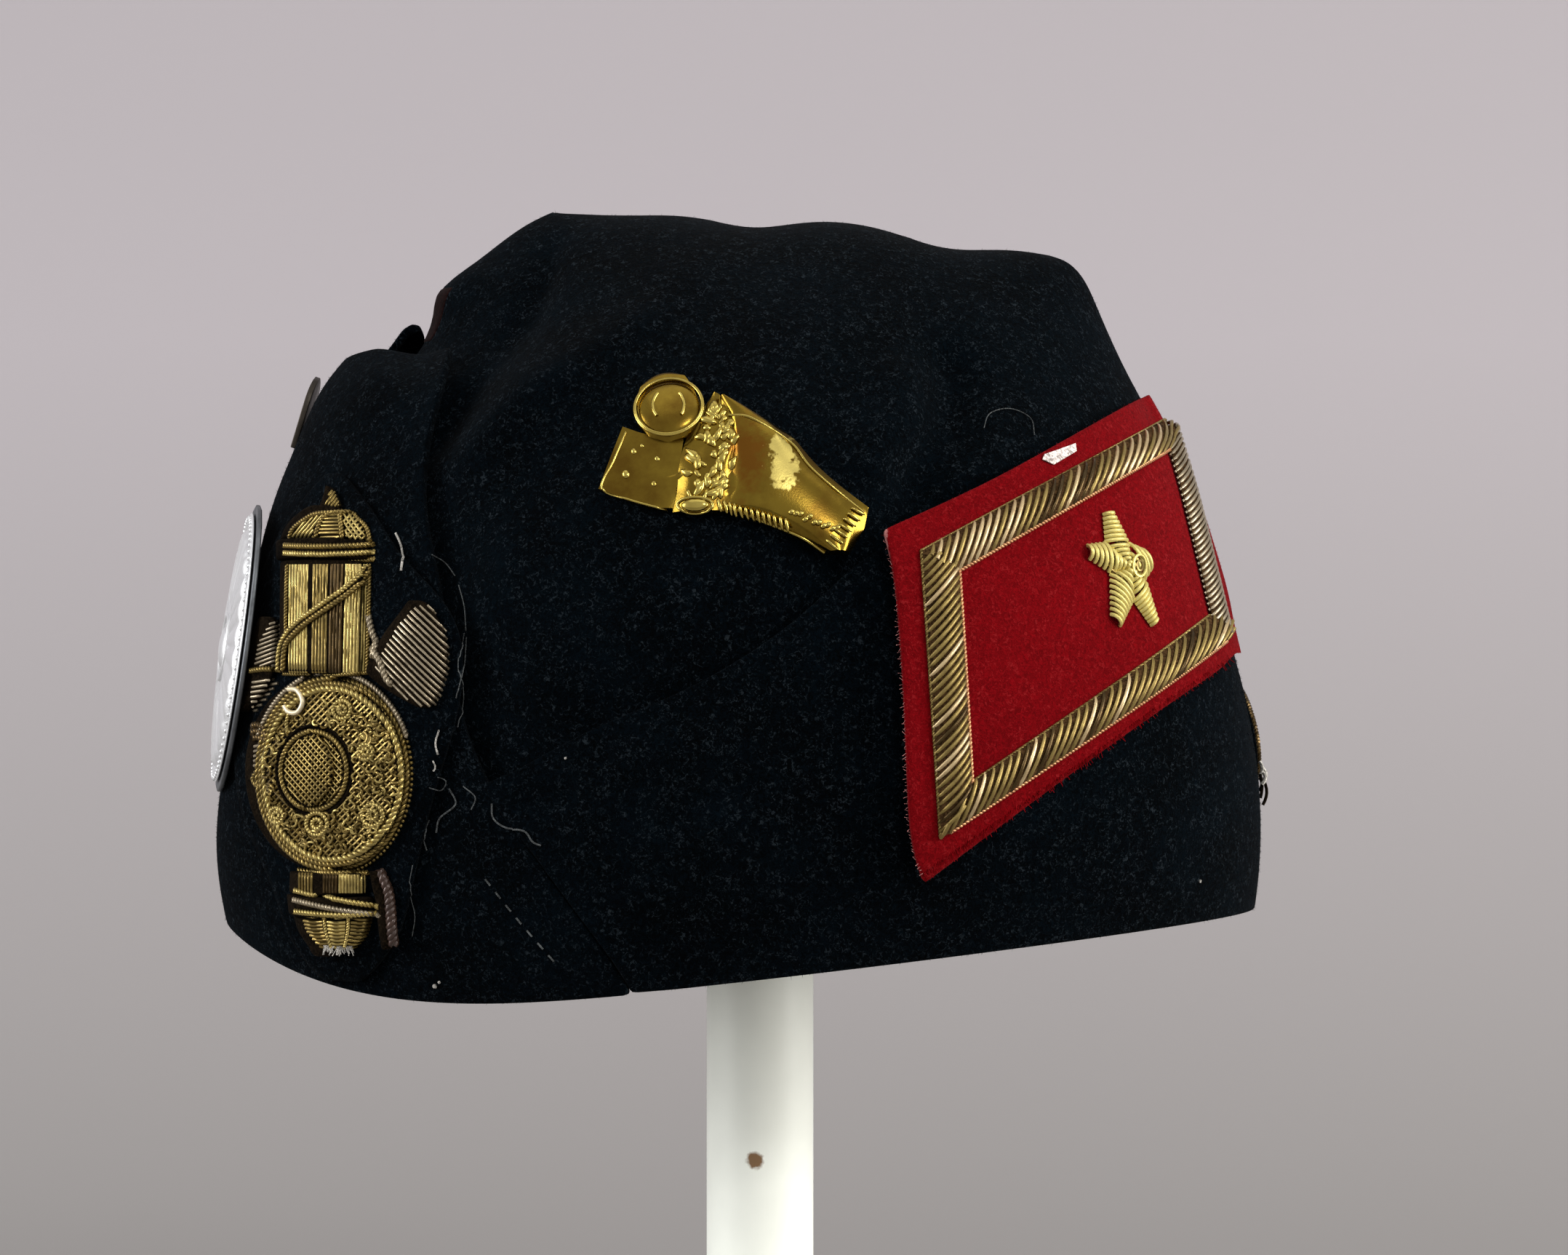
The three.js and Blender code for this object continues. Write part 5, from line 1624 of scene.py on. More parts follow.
def edging(base):
    """Cords along the braid's edges: lighter reddish ones as painted light where the braid is lit, and thin
    gold ones on the rest.
    """
    upper_left, upper_right, lower_right, lower_left = BRAID_OUTER
    inner = (BRAID_INNER[3], BRAID_INNER[0], BRAID_INNER[1])
    lower = (between(lower_left, lower_right, 0.03), between(lower_left, lower_right, 0.98))
    for name, places in (("braid_inner_cord", inner), ("braid_lower_cord", lower)):
        path = [p for a, b in zip(places, places[1:]) for p in straight(base, a, b, 0.55)[:-1]]
        path.append(base.from_left(*places[-1], 0.55)[0])
        wires(name, strands(path, 0.25 * MM, 1.6 * MM, 2, 6), 0.28, reddish_cord())
    rest = []
    for a, b in ((lower_left, upper_left), (upper_left, upper_right), (BRAID_INNER[3], BRAID_INNER[2])):
        rest += strands(straight(base, a, b, 0.3), 0.2 * MM, 1.3 * MM, 2, 6)
    wires("braid_edge_cords", rest, 0.24, braid_wire(), 5)


class CAP_OT_braid(bpy.types.Operator):
    """Lays the patch's braid, rib by rib, and its edging cords"""

    bl_idname = "cap.braid"
    bl_label = "Braid"

    def execute(self, context):
        base = Ground("patch_felt_cloth")
        make_bed(base)
        lay_ribs(base)
        edging(base)
        return {"FINISHED"}


def wind(base, a, b, height):
    """A wire over the star from one place on its edge to another."""
    path = []
    for k in range(9):
        w = k / 8
        p, normal = base.from_left(*between(a, b, w))
        path.append(p + normal * (0.25 + height * math.sin(math.pi * w) ** 0.6) * MM)
    return path


def star_winding(base):
    """The wires over each arm, from its blunt tip to the star's middle."""
    paths = []
    for i, tip in enumerate(STAR_POINTS):
        one, two = STAR_VALLEYS[i - 1], STAR_VALLEYS[i]
        root = between(one, two, 0.5)
        arm, inner = math.dist(root, tip), math.dist(root, STAR_MIDDLE)
        blunt = [tuple(t + (v - c) * 0.30 for t, v, c in zip(tip, valley, root)) for valley in (one, two)]
        for k in range(int(arm / STAR_PITCH)):
            t = (k + 0.3) * STAR_PITCH / arm
            paths.append(wind(base, between(one, blunt[0], t), between(two, blunt[1], t), 1.7 - 0.6 * t))
        for k in range(1, int(inner / STAR_PITCH) + 1):
            t = k * STAR_PITCH / inner
            if t < 0.95:
                both = between(one, STAR_MIDDLE, t), between(two, STAR_MIDDLE, t)
                paths.append(wind(base, *both, 1.7 + 0.2 * t))
    return paths


def make_star_bed(base):
    """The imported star, pressed flat and drawn in under the wires."""
    bed = copy_of_node("patch_star", "patch_star_bed")
    for v in bed.data.vertices:
        hit = base.tree.find_nearest(v.co)[0]
        v.co = hit + (v.co - hit) * 0.35
        v.co.x += (STAR_MIDDLE[0] * MM - v.co.x) * 0.22
        v.co.z += ((STAR_MIDDLE[1] + RIM) * MM - v.co.z) * 0.22
    finish_piece(smooth(subdivide(bed, 1, True), 50), bullion_wire("gold"), ["patch_star"])


class CAP_OT_star(bpy.types.Operator):
    """Winds the star's arms with yellow wire round a small ring"""

    bl_idname = "cap.star"
    bl_label = "Star"

    def execute(self, context):
        base = Ground("patch_felt_cloth")
        make_star_bed(base)
        wires("star_winding", star_winding(base), 0.43, star_wire())
        x, rise, size, flat, lift = STAR_RING
        rings = (("star_ring", 1.0, star_wire()), ("star_ring_middle", 0.45, bullion_wire("gold")))
        for name, share, finish in rings:
            places = oval((x, rise, size * flat, size), share, steps=24)
            ring = [base.from_left(*place, lift)[0] for place in places]
            wires(name, [[*ring[:-1], ring[0]]], 0.36, finish)
        return {"FINISHED"}

# ---- The stamped brass pin ----

PIN_DISC = (-17.4, 119.8, 6.7)
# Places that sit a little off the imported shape: x, rise, full and widest reach, and the move
PIN_SHIFTS = (
    (-17.4, 121.2, 8.2, 9.6, 0.0, -1.6),
    (-7.7, 124.4, 1.5, 7.0, -0.3, -1.8),
    (-30.4, 105.1, 1.0, 8.0, -0.2, -1.5),
)
# The disc's rims: share of its size, wire and lift; its arcs: shift along x, first and last share of a turn
DISC_RIMS = ((1.0, 0.30, 0.8), (0.97, 0.22, 1.0))
DISC_ARCS = ((-0.3, 0.36, 0.62), (0.4, -0.1, 0.14))
PIN_SPECKS = (
    (-24.2, 111.5, 0.55), (-19.6, 110.0, 0.5), (-25.7, 107.0, 0.75),
    (-20.2, 105.1, 0.5), (-22.6, 112.6, 0.35),
)
PLATE_RIM = ((-25.8, 115.2), (-28.2, 109.4), (-30.3, 104.3), (-25.0, 102.0), (-17.4, 99.9))
# The ruff's outline, as rows of rise, left x and right x
PIN_RUFF = (
    (101.8, -15.6, -8.0), (104.0, -15.6, -5.4), (110.0, -14.6, -3.6),
    (116.0, -12.4, -3.8), (120.6, -10.4, -7.2),
)
PIN_PAD = (-12.2, 100.9, 3.4, 1.5)
PIN_RIBS = ((-7.6, 100.9), (0.0, 99.0), (5.6, 97.2))
PIN_BUMPS = ((6.4, 99.2), (11.0, 97.8), (15.2, 96.4))
PIN_RAYS = ((14.2, 93.2), (19.1, 99.6))
PIN_FLANGES = (
    ((-6.0, 100.8), (0.9, 97.8), (8.2, 94.8), (12.8, 91.8)),
    ((-5.8, 118.5), (-1.4, 117.9), (6.2, 113.1), (10.0, 108.3), (15.4, 103.5), (20.4, 99.5)),
)
# Uneven spots on the plate, as ovals: a darker brown one and a painted highlight, how soft and what colour
PIN_SPOTS = (
    ((-2.0, 111.0, 3.4, 6.6), 0.45, (0.19, 0.080, 0.011)),
    # a painted highlight, where the pin's body would reflect a lamp
    ((4.6, 109.0, 2.9, 5.0), 0.12, (0.78, 0.62, 0.17)),
)


def spot_mask(tree, spot, soft):
    """1 inside an uneven oval spot seen from the left, 0 outside."""
    x, rise, half_width, half_height = spot
    place = coordinates(tree)
    away = place
    for operation, value in (
        ("SUBTRACT", (x * MM, 0, (RIM + rise) * MM)),
        ("MULTIPLY", (1000 / half_width, 0, 1000 / half_height)),
    ):
        away = node(tree, "ShaderNodeVectorMath", {0: away, 1: value}, operation=operation).outputs[0]
    distance = node(tree, "ShaderNodeVectorMath", {0: away}, operation="LENGTH").outputs["Value"]
    uneven = maths(tree, "ADD", distance, ramp(tree, noise(tree, place, 420, 3), 0.3, 0.7, -0.5, 0.5))
    return ramp(tree, uneven, 0.9 + soft, 0.9 - soft)


def stamped_brass():
    """Brass, darker brown in one uneven place on the plate, with a painted highlight in another."""
    if "Stamped brass" in bpy.data.materials:
        return bpy.data.materials["Stamped brass"]
    body, dark = settings("metal").brass, (0.10, 0.05, 0.007)
    made = metal_material("Stamped brass", body, dark, 0.8, 85, (0.14, 0.30), 1.0, 0.03)
    for spot, soft, colour_of in PIN_SPOTS:
        paint_over(made, spot_mask(made.node_tree, spot, soft), colour_of)
    return made


# Lighter brass for the raised relief: partly wear on its high points, partly painted highlight
def rubbed_and_highlit_brass():
    body, dark = (0.52, 0.40, 0.095), (0.20, 0.12, 0.02)
    return metal_material("Rubbed brass", body, dark, 0.45, 160, (0.16, 0.32), 1.0, 0.03)


def pin_boss(ground, x, rise, size, flat=0.6, stretch=1.0, lean=0.0, lift=0.0):
    """A small round boss on the pin, longer along its lean if stretched."""
    p, normal = ground.from_left(x, rise, lift)
    boss = ball(2)
    onward = Vector((math.cos(lean), 0, math.sin(lean)))
    onward = (onward - normal * onward.dot(normal)).normalized()
    turn = Matrix((onward, normal.cross(onward), normal)).transposed()
    scale = Vector((size * stretch, size, size * flat)) * MM
    for v in boss.data.vertices:
        v.co = p + turn @ (v.co * scale)
    return boss


def pin_body():
    body, crown = copy_of_node("brass_pin", "brass_pin_body"), Ground("crown_felt")
    for v in body.data.vertices:
        x, rise = v.co.x / MM, v.co.z / MM - RIM
        for px, pr, near, far, move_x, move_rise in PIN_SHIFTS:
            share = ease((far - math.hypot(x - px, rise - pr)) / (far - near))
            if share:
                moved = crown.from_left(x + move_x, rise + move_rise)[0]
                v.co += (moved - crown.from_left(x, rise)[0]) * share
    subdivide(round_edges(body, 0.35, 2, 50), 2)
    finish_piece(smooth(body, 60), stamped_brass(), ["brass_pin"])


def disc_parts(ground):
    """The disc's dish, a piece of its own, and its rims and arcs."""
    x, rise, size = PIN_DISC
    middle, normal = ground.from_left(x, rise)
    parts = []
    for share, wire, lift in DISC_RIMS:
        parts.append(hoop(middle + normal * lift * MM, normal, size * share, wire, 64, 8))
    dish = smooth(named(dome(middle, normal, size * 0.93, 1.5, 40, 16), "brass_pin_disc"))
    finish_piece(dish, stamped_brass())
    arcs = [oval((x + move, rise, 2.9, 3.2), 1.0, first, last, 14) for move, first, last in DISC_ARCS]
    return [*parts, tubes("pin_arcs", [ground.line(line, 1.2, 0.5) for line in arcs], 0.36 * MM, 8)]


def plate_parts(ground):
    """Raised specks and a rim on the square plate."""
    parts = [pin_boss(ground, x, rise, size, 0.6, 1.3, 1.9) for x, rise, size in PIN_SPECKS]
    return [*parts, tubes("pin_rim", [ground.line(PLATE_RIM, 0.05, 0.6)], 0.24 * MM, 8)]


def ruff_parts(ground, chance):
    """The ruff's small crumpled leaves, and the oval pad under them."""
    parts = []
    for _ in range(64):
        rise = chance.uniform(102.2, 120.4)
        left, right = along(PIN_RUFF, 0, rise, 1) + 0.9, along(PIN_RUFF, 0, rise, 2) - 0.7
        x = chance.uniform(left, right)
        lean = 2.5 - 1.9 * (x - left) / (right - left) + chance.uniform(-0.7, 0.7)
        leaf = pin_boss(ground, x, rise, chance.uniform(0.45, 0.85), 0.8, chance.uniform(1.5, 2.6), lean, 0.1)
        for v in leaf.data.vertices:
            wave = Vector((math.sin(v.co.z * 2900 + x), 0, math.sin(v.co.x * 3300 + rise)))
            v.co += wave * 0.16 * MM
        parts.append(leaf)
    pad = [ground.from_left(*place, 0.15)[0] for place in oval(PIN_PAD, steps=24)]
    parts.append(tubes("pin_pad_rim", [pad], 0.32 * MM, 8))
    parts.append(pin_boss(ground, *PIN_PAD[:2], 1.3, 0.4, 2.1, 0.0, 0.1))
    return parts


def rayed_parts(ground, chance):
    """Ribs along the lower band, a row of bumps, the tip's rays and the flanges."""
    parts = []
    for p in spline([Vector((x, 0, rise)) for x, rise in PIN_RIBS], 1.1):
        rib = pin_boss(ground, p.x, p.z + 0.8, 0.40, 1.6, 3.8, 1.75, 0.4)
        for v in rib.data.vertices:
            v.co.z -= 1.0 * MM
        parts.append(rib)
    for p in spline([Vector((x, 0, rise)) for x, rise in PIN_BUMPS], 0.9):
        parts.append(pin_boss(ground, p.x, p.z + chance.uniform(-0.5, 0.5), 0.52, 0.9, 1.3, 0.6, 0.3))
    for t in (k / 6 for k in range(7)):
        parts.append(pin_boss(ground, *between(*PIN_RAYS, t), 0.36, 1.0, 4.6, -0.72 + 0.5 * t, 0.3))
    flanges = [spline([ground.from_left(*place, 0.1)[0] for place in line], 0.6 * MM) for line in PIN_FLANGES]
    return [*parts, tubes("pin_flange", flanges, 0.3 * MM, 8)]


class CAP_OT_pin(bpy.types.Operator):
    """Makes the stamped brass pin with its raised parts"""

    bl_idname = "cap.pin"
    bl_label = "Brass pin"

    def execute(self, context):
        pin_body()
        ground = Ground("brass_pin_body", "crown_felt")
        chance = random.Random(41)
        parts = disc_parts(ground) + plate_parts(ground)
        parts += ruff_parts(ground, chance) + rayed_parts(ground, chance)
        detail = join_pieces([smooth(part) for part in parts], "brass_pin_relief")
        finish_piece(detail, rubbed_and_highlit_brass())
        return {"FINISHED"}

# ---- The front plates and the badge on the back ----

PLATE_LIFT = 1.0  # how far the silver plate and its back are moved towards the felt
SILVER_HALF = (21, 28)  # the silver plate's half width and half height, for its rays
SILVER_BEADS = (84, 19.9, 26.8)  # the number of beads, and their ring's half width and half height
SILVER_HOOPS = ((6.6, 0.5), (4.6, 0.3))
BACK_CORDS = (0.90, 0.78, 0.66)
# Loose ends at the back badge: y, first and last rise, and how far they stand out, in mm
BADGE_ENDS = (
    (4.0, 49.6, 46.4, 1.3), (3.4, 47.0, 42.0, 0.9), (4.6, 48.2, 45.2, 2.1), (2.8, 45.6, 40.6, 1.7),
    (2.2, 47.4, 44.9, 1.5), (5.2, 46.2, 43.4, 1.2),
)


def bright_silver():
    body = settings("metal").silver
    return metal_material("Bright silver", body, (0.55, 0.54, 0.53), 0.5, 130, (0.32, 0.50), 0.75, 0.12)


def grey_metal():
    body = settings("metal").grey
    return metal_material("Dull grey metal", body, (0.05, 0.052, 0.055), 0.6, 140, (0.35, 0.6), 0.9, 0.04)


def dark_bronze():
    body = settings("metal").bronze
    return metal_material("Dark bronze", body, (0.015, 0.012, 0.01), 0.6, 160, (0.35, 0.6), 0.9, 0.04)


def plate_frame(node_name):
    """The middle of a plate that faces -X, and its three directions, from its own points."""
    points = np.array([tuple(v.co) for v in frame["nodes"][node_name].data.vertices])
    middle = points.mean(axis=0)
    _, _, axes = np.linalg.svd(points - middle)
    up = Vector(axes[0]) if axes[0][2] > 0 else -Vector(axes[0])
    out = Vector(axes[2]) if axes[2][0] < 0 else -Vector(axes[2])
    return Vector(middle), up.cross(out).normalized(), up, out


def tuck_bronze(piece):
    """Narrows and shortens the bronze plate, whose foot is hidden, and lays it close to the felt."""
    middle, side, up, _ = plate_frame("bronze_plate")
    top = max((v.co - middle).dot(up) for v in piece.data.vertices)
    for v in piece.data.vertices:
        local = v.co - middle
        v.co -= side * local.dot(side) * 0.4 + up * (local.dot(up) - top) * 0.42
        v.co.x += 0.04 * (top - local.dot(up)) + 0.3 * MM


def silver_face(middle, side, up, out):
    """The silver plate, thinned, with rays between its boss and its rim, and a groove inside the rim."""
    face = subdivide(copy_of_node("silver_plate", "silver_plate_face"), 3)
    rear = min((v.co - middle).dot(out) for v in face.data.vertices)
    for v in face.data.vertices:
        v.co -= out * ((v.co - middle).dot(out) - rear) * 0.35
    shift(face, PLATE_LIFT)

    def emboss(bm):
        bm.normal_update()
        for v in bm.verts:
            if v.normal.dot(out) < 0.3:
                continue
            local = v.co - middle
            a, b = local.dot(side) / (SILVER_HALF[0] * MM), local.dot(up) / (SILVER_HALF[1] * MM)
            share, turn = math.hypot(a, b), math.atan2(b, a)
            rays = abs(math.sin(turn * 14)) ** 0.5 * ease((share - 0.3) / 0.15) * ease((0.88 - share) / 0.06)
            groove = ease((share - 0.86) / 0.02) * ease((0.93 - share) / 0.02)
            v.co += out * (0.55 * rays - 0.5 * groove) * MM

    finish_piece(smooth(edit(face, emboss)), bright_silver(), ["silver_plate"])


class CAP_OT_front_plates(bpy.types.Operator):
    """Makes the silver plate with its rays and beaded rim, its grey back and the bronze plate"""

    bl_idname = "cap.front_plates"
    bl_label = "Front plates"

    def execute(self, context):
        back = shift(copy_of_node("silver_plate_back", "silver_plate_back_metal"), PLATE_LIFT)
        bronze = copy_of_node("bronze_plate", "bronze_plate_metal")
        tuck_bronze(bronze)
        plates = ((back, grey_metal(), "grey_metal"), (bronze, dark_bronze(), "dark_bronze"))
        for piece, finish, slot in plates:
            smooth(round_edges(piece, 0.3, 3, 40), 40)
            finish_piece(piece, finish, [piece.name.removesuffix("_metal")])

        middle, side, up, out = plate_frame("silver_plate")
        silver_face(middle, side, up, out)
        ground = Ground("silver_plate_face")
        number_of, half_width, half_height = SILVER_BEADS
        dots = []
        for turn in turns(number_of)[:-1]:
            place = side * half_width * math.cos(turn) + up * half_height * math.sin(turn)
            hit = ground.onto(middle + place * MM + out * 0.02, -out)
            if hit is not None:
                dots.append((hit, out))
        finish_piece(beads("silver_plate_beads", dots, 0.62 * MM, 0.8), bright_silver())
        # A plain raised boss with a turned ring in the middle
        hit = ground.onto(middle + out * 0.02, -out)
        parts = [hoop(hit, out, radius, wire, 72, 10) for radius, wire in SILVER_HOOPS]
        parts.append(dome(hit, out, 4.2, 1.1, 48, 24))
        boss = join_pieces([smooth(part) for part in parts], "silver_plate_boss")
        finish_piece(boss, bright_silver())
        return {"FINISHED"}


def back_frame(ground):
    """The back badge's middle, its outward direction, the two across it and its half width and height."""
    low, high = (Vector(corner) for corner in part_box("back_badge_braid"))
    middle = (low + high) / 2
    normal = ground.tree.find_nearest(middle + Vector((0.02, 0.004, 0)))[1]
    if normal.x < 0:
        normal = -normal
    side = Vector((0, 0, 1)).cross(normal).normalized()
    half_width = (high.y - low.y) / 2 / max(0.3, abs(side.y))
    return middle, normal, side, normal.cross(side), half_width, (high.z - low.z) / 2


def wind_back(ground, middle, normal, side, up, half_width, half_height):
    """Cords wound round the back badge's ring."""
    cords = []
    for reach in BACK_CORDS:
        rays = [side * half_width * math.cos(t) + up * half_height * math.sin(t) for t in turns(96)]
        hits = [ground.onto(middle + ray * reach + normal * 0.03, -normal) for ray in rays]
        cords += strands([hit for hit in hits if hit is not None], 0.36 * MM, 1.9 * MM, 3, 6)
    wires("back_badge_cords", cords, 0.38, bullion_wire("shade"), 5)


def back_rosette(ground, middle, normal, side, up):
    """A plain rosette of eight petals in the back badge's middle."""
    petals = []
    for turn in turns(8)[:-1]:
        line = side * math.cos(turn) + up * math.sin(turn)
        cross = normal.cross(line)
        for t in spread(0, 1, 7):
            hit = ground.onto(middle + line * (1.4 + 5.6 * t) * MM + normal * 0.03, -normal)
            if hit is not None:
                hit = hit + normal * 0.15 * MM
                half = cross * math.sin(math.pi * t) ** 0.7 * MM
                petals.append([hit - half, hit + normal * 0.55 * MM, hit + half])
    wires("back_badge_rosette", petals, 0.32, bullion_wire("gold"), 5)


def loose_back_ends():
    """Loose ends where the cord is cut off at the ring's foot."""
    both = Ground("back_badge_ring", "ear_flap_left_felt", "ear_flap_right_felt")
    ends = ([], [])
    for k, (y, first, last, out) in enumerate(BADGE_ENDS):
        line = []
        for t in (i / 6 for i in range(7)):
            start = Vector((0.2, y * MM, (RIM + first + (last - first) * t) * MM))
            away = 0.2 + out * math.sin(math.pi * (0.25 + 0.6 * t))
            line.append(both.onto(start, Vector((-1, 0, 0))) + Vector((away * MM, 0, 0)))
        ends[k % 2].append(line)
    wires("back_badge_pale_ends", ends[0], 0.38, white_thread())
    wires("back_badge_dark_ends", ends[1], 0.34, dark_thread())


class CAP_OT_back_badge(bpy.types.Operator):
    """Makes the round felt badge on the back with its wound braid"""

    bl_idname = "cap.back_badge"
    bl_label = "Back badge"

    def execute(self, context):
        for node_name, name, finish, slot, move in (
            ("back_badge", "back_badge_felt", cap_felt(), "black_felt", -0.7),
            ("back_badge_braid", "back_badge_ring", dark_thread(), "bullion", -1.5),
        ):
            dressed(node_name, name, finish, shaped=lambda piece, move=move: shift(piece, move))
        ground = Ground("back_badge_ring", "back_badge_felt")
        placed = back_frame(ground)
        wind_back(ground, *placed)
        loose_back_ends()
        back_rosette(ground, *placed[:4])
        return {"FINISHED"}

# ---- The stand ----

SCUFF_MIDDLE = (-0.0010, -0.011, 0.0835)  # the bare patch on the post, in m


def painted_wood():
    """White paint, a little uneven, with a bare scuff low on the post."""
    if "White stand paint" in bpy.data.materials:
        return bpy.data.materials["White stand paint"]
    stand = settings("stand")
    made, tree, shader, bump = new_material("White stand paint", 0.42, Specular_IOR_Level=0.4)
    place = coordinates(tree)
    clouds = noise(tree, place, 24, 4)
    ripple = noise(tree, coordinates(tree, (1, 1, 0.25)), 320, 3)
    paint = stand.paint
    body = mix_colours(tree, ramp(tree, clouds, 0.35, 0.7), rgba(paint), rgba([c * 0.88 for c in paint]))
    ends = {0: node(tree, "ShaderNodeTexCoord").outputs["Object"], 1: SCUFF_MIDDLE}
    spot = node(tree, "ShaderNodeVectorMath", ends, operation="DISTANCE").outputs["Value"]
    ragged = maths(tree, "ADD", spot, maths(tree, "MULTIPLY", noise(tree, place, 900, 4), 0.0016))
    mask = ramp(tree, ragged, 0.0028, 0.0021)
    tree.links.new(mix_colours(tree, mask, body, rgba(stand.scuff)), shader.inputs["Base Color"])
    tree.links.new(ramp(tree, clouds, 0.3, 0.7, 0.34, 0.55), shader.inputs["Roughness"])
    tree.links.new(ripple, bump.inputs["Height"])
    bump.inputs["Distance"].default_value = 0.08 * MM
    return made


class CAP_OT_stand(bpy.types.Operator):
    """Makes the painted post, its round top and its base"""

    bl_idname = "cap.stand"
    bl_label = "Stand"

    def execute(self, context):
        paint = painted_wood()
        for node_name, sides in (("stand_post", 96), ("stand_base", 128)):
            low, high = (Vector(corner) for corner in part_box(node_name))
            clear_selection()
            bpy.ops.mesh.primitive_cylinder_add(
                vertices=sides, radius=(high.x - low.x) / 2, depth=high.z - low.z, location=(low + high) / 2
            )
            piece = settle(named(bpy.context.object, node_name + "_painted"))
            finish_piece(smooth(round_edges(piece, 1.4, 4), 40), paint, [node_name])
        top = round_edges(copy_of_node("stand_top", "stand_top_painted"), 0.8, 3, 40)
        finish_piece(smooth(top, 40), paint, ["stand_top"])
        return {"FINISHED"}


# ---- Stage ----

# The paper sweep, in m: where the floor turns up, the bend's radius, the floor's near end, the wall's height
PAPER = (0.45, 0.5, -2.4, 2.4)
PAPER_WIDTH = 5.0
PAPER_BELOW = 0.0002  # the paper lies this far below the base, so that the two don't share a face
AIM = (0, 0, 0.19)  # the lamps all point here
# Lamps: name, place, size, the setting that holds the power, and tint
LAMPS = (
    ("key_right", (1.25, -0.35, 0.55), (0.6, 0.9), "key", (1.0, 0.98, 0.95)),
    ("fill_left", (-1.25, -0.35, 0.55), (0.6, 0.9), "fill", (0.97, 0.98, 1.0)),
    ("glint", (0.35, -0.9, 0.78), (0.14, 0.14), "glint", (1, 1, 1)),
    ("top", (0.05, -0.15, 1.25), (1.1, 0.8), "top", (1, 1, 1)),
)
SKY = (1.0, 0.985, 0.975)


def backdrop_material():
    """Pale paper, painted a little darker and warmer towards the floor as painted shade."""
    stage = settings("stage")
    made, tree, shader, bump = new_material("Pale backdrop", 0.9, Specular_IOR_Level=0.1)
    place = node(tree, "ShaderNodeTexCoord").outputs["Object"]
    height = node(tree, "ShaderNodeSeparateXYZ", {0: place}).outputs[2]
    share = ramp(tree, height, 0.0, 0.30)
    tree.links.new(mix_colours(tree, share, rgba(stage.low), rgba(stage.pale)), shader.inputs["Base Color"])
    tree.links.new(noise(tree, place, 120, 3), bump.inputs["Height"])
    bump.inputs["Distance"].default_value = 0.05 * MM
    return made


def softbox(name, place, size, power, tint):
    """A rectangular lamp that points at AIM."""
    data = bpy.data.lights.new(name, "AREA")
    data.shape = "RECTANGLE"
    data.size, data.size_y = size
    data.energy = power
    data.color = tint
    lamp = linked(name, data)
    lamp.location = place
    lamp.rotation_euler = (Vector(AIM) - Vector(place)).to_track_quat("-Z", "Y").to_euler()


def paper_sweep():
    """A floor that bends up into a wall behind the cap."""
    clear_selection()
    bpy.ops.mesh.primitive_grid_add(x_subdivisions=2, y_subdivisions=60, size=1)
    paper = named(bpy.context.object, "backdrop")
    floor_end, bend, near, wall = PAPER
    arc = bend * math.pi / 2
    floor = floor_end - near
    for v in paper.data.vertices:
        s = (v.co.y + 0.5) * (floor + arc + wall)
        if s < floor:
            y, z = near + s, 0.0
        elif s < floor + arc:
            turn = (s - floor) / bend
            y, z = floor_end + bend * math.sin(turn), bend * (1 - math.cos(turn))
        else:
            y, z = floor_end + bend, bend + s - floor - arc
        v.co = Vector((v.co.x * PAPER_WIDTH, y, z - PAPER_BELOW))
    smooth(paper)
    paper.data.materials.append(backdrop_material())
    return paper


def even_sky(strength):
    world = bpy.context.scene.world or bpy.data.worlds.new("Even light")
    bpy.context.scene.world = world
    world.use_nodes = True
    background = world.node_tree.nodes["Background"]
    background.inputs["Color"].default_value = rgba(SKY)
    background.inputs["Strength"].default_value = strength


def level_camera(stage):
    """A level camera in front of the cap, looking along +Y."""
    data = bpy.data.cameras.new("camera")
    data.sensor_width = 36
    data.lens = stage.lens
    data.clip_start, data.clip_end = 0.05, 20
    camera = linked("camera", data)
    camera.location = (stage.offset, -stage.distance, stage.height)
    camera.rotation_euler = (math.radians(90), 0, 0)
    bpy.context.scene.camera = camera


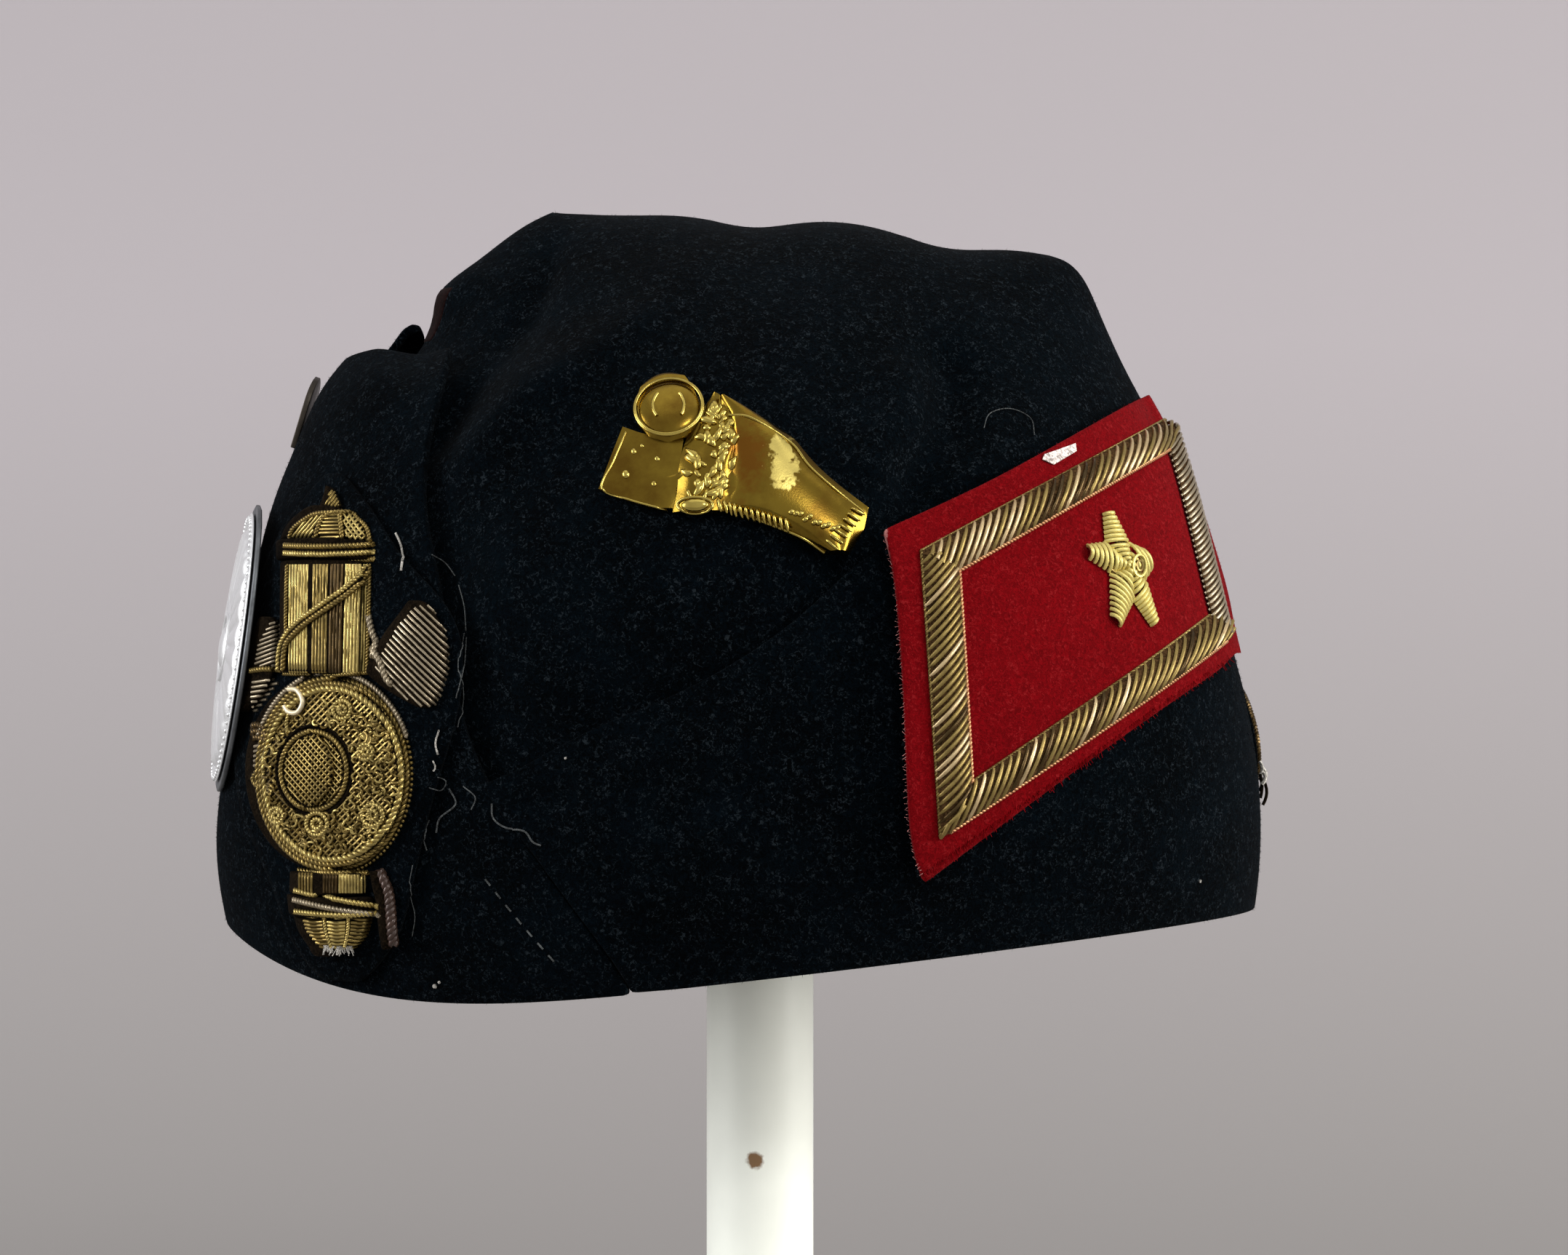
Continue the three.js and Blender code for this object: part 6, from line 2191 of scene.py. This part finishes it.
class CAP_OT_stage(bpy.types.Operator):
    """Makes the pale backdrop, the soft lights and the camera"""

    bl_idname = "cap.stage"
    bl_label = "Stage"

    def execute(self, context):
        stage = settings("stage")
        paper_sweep()
        for name, place, size, power, tint in LAMPS:
            softbox(name, place, size, getattr(stage, power), tint)
        bpy.context.scene.view_settings.view_transform = "Standard"
        even_sky(stage.sky)
        level_camera(stage)
        return {"FINISHED"}


# ---- Panel and registration ----

STEPS = (
    CAP_OT_stage,
    CAP_OT_crown,
    CAP_OT_flaps,
    CAP_OT_binding,
    CAP_OT_nap,
    CAP_OT_badge_felt,
    CAP_OT_badge_shapes,
    CAP_OT_badge_tower,
    CAP_OT_badge_lobes,
    CAP_OT_badge_medallion,
    CAP_OT_badge_foot,
    CAP_OT_threads,
    CAP_OT_patch,
    CAP_OT_braid,
    CAP_OT_star,
    CAP_OT_pin,
    CAP_OT_front_plates,
    CAP_OT_back_badge,
    CAP_OT_stand,
)


class CAP_PT_panel(bpy.types.Panel):
    """Lists the cap's steps and sizes"""

    bl_label = "Garrison Cap"
    bl_idname = "CAP_PT_panel"
    bl_space_type = "VIEW_3D"
    bl_region_type = "UI"
    bl_category = "Garrison Cap"

    def draw(self, context):
        for step in STEPS:
            self.layout.operator(step.bl_idname)
        for name, group in GROUPS.items():
            box = self.layout.box()
            box.label(text=name.title())
            for prop in group.__annotations__:
                box.prop(getattr(context.scene, "cap_" + name), prop)


def register():
    for cls in (*GROUPS.values(), *STEPS, CAP_PT_panel):
        bpy.utils.register_class(cls)
    for name, group in GROUPS.items():
        setattr(bpy.types.Scene, "cap_" + name, bpy.props.PointerProperty(type=group))


def unregister():
    for name in GROUPS:
        delattr(bpy.types.Scene, "cap_" + name)
    for cls in (CAP_PT_panel, *reversed(STEPS), *GROUPS.values()):
        bpy.utils.unregister_class(cls)


def main():
    register()
    for step in STEPS:
        run = getattr(bpy.ops.cap, step.bl_idname.split(".")[1])
        if run() != {"FINISHED"}:
            raise RuntimeError(step.bl_label + " didn't finish")


if __name__ == "__main__":
    main()
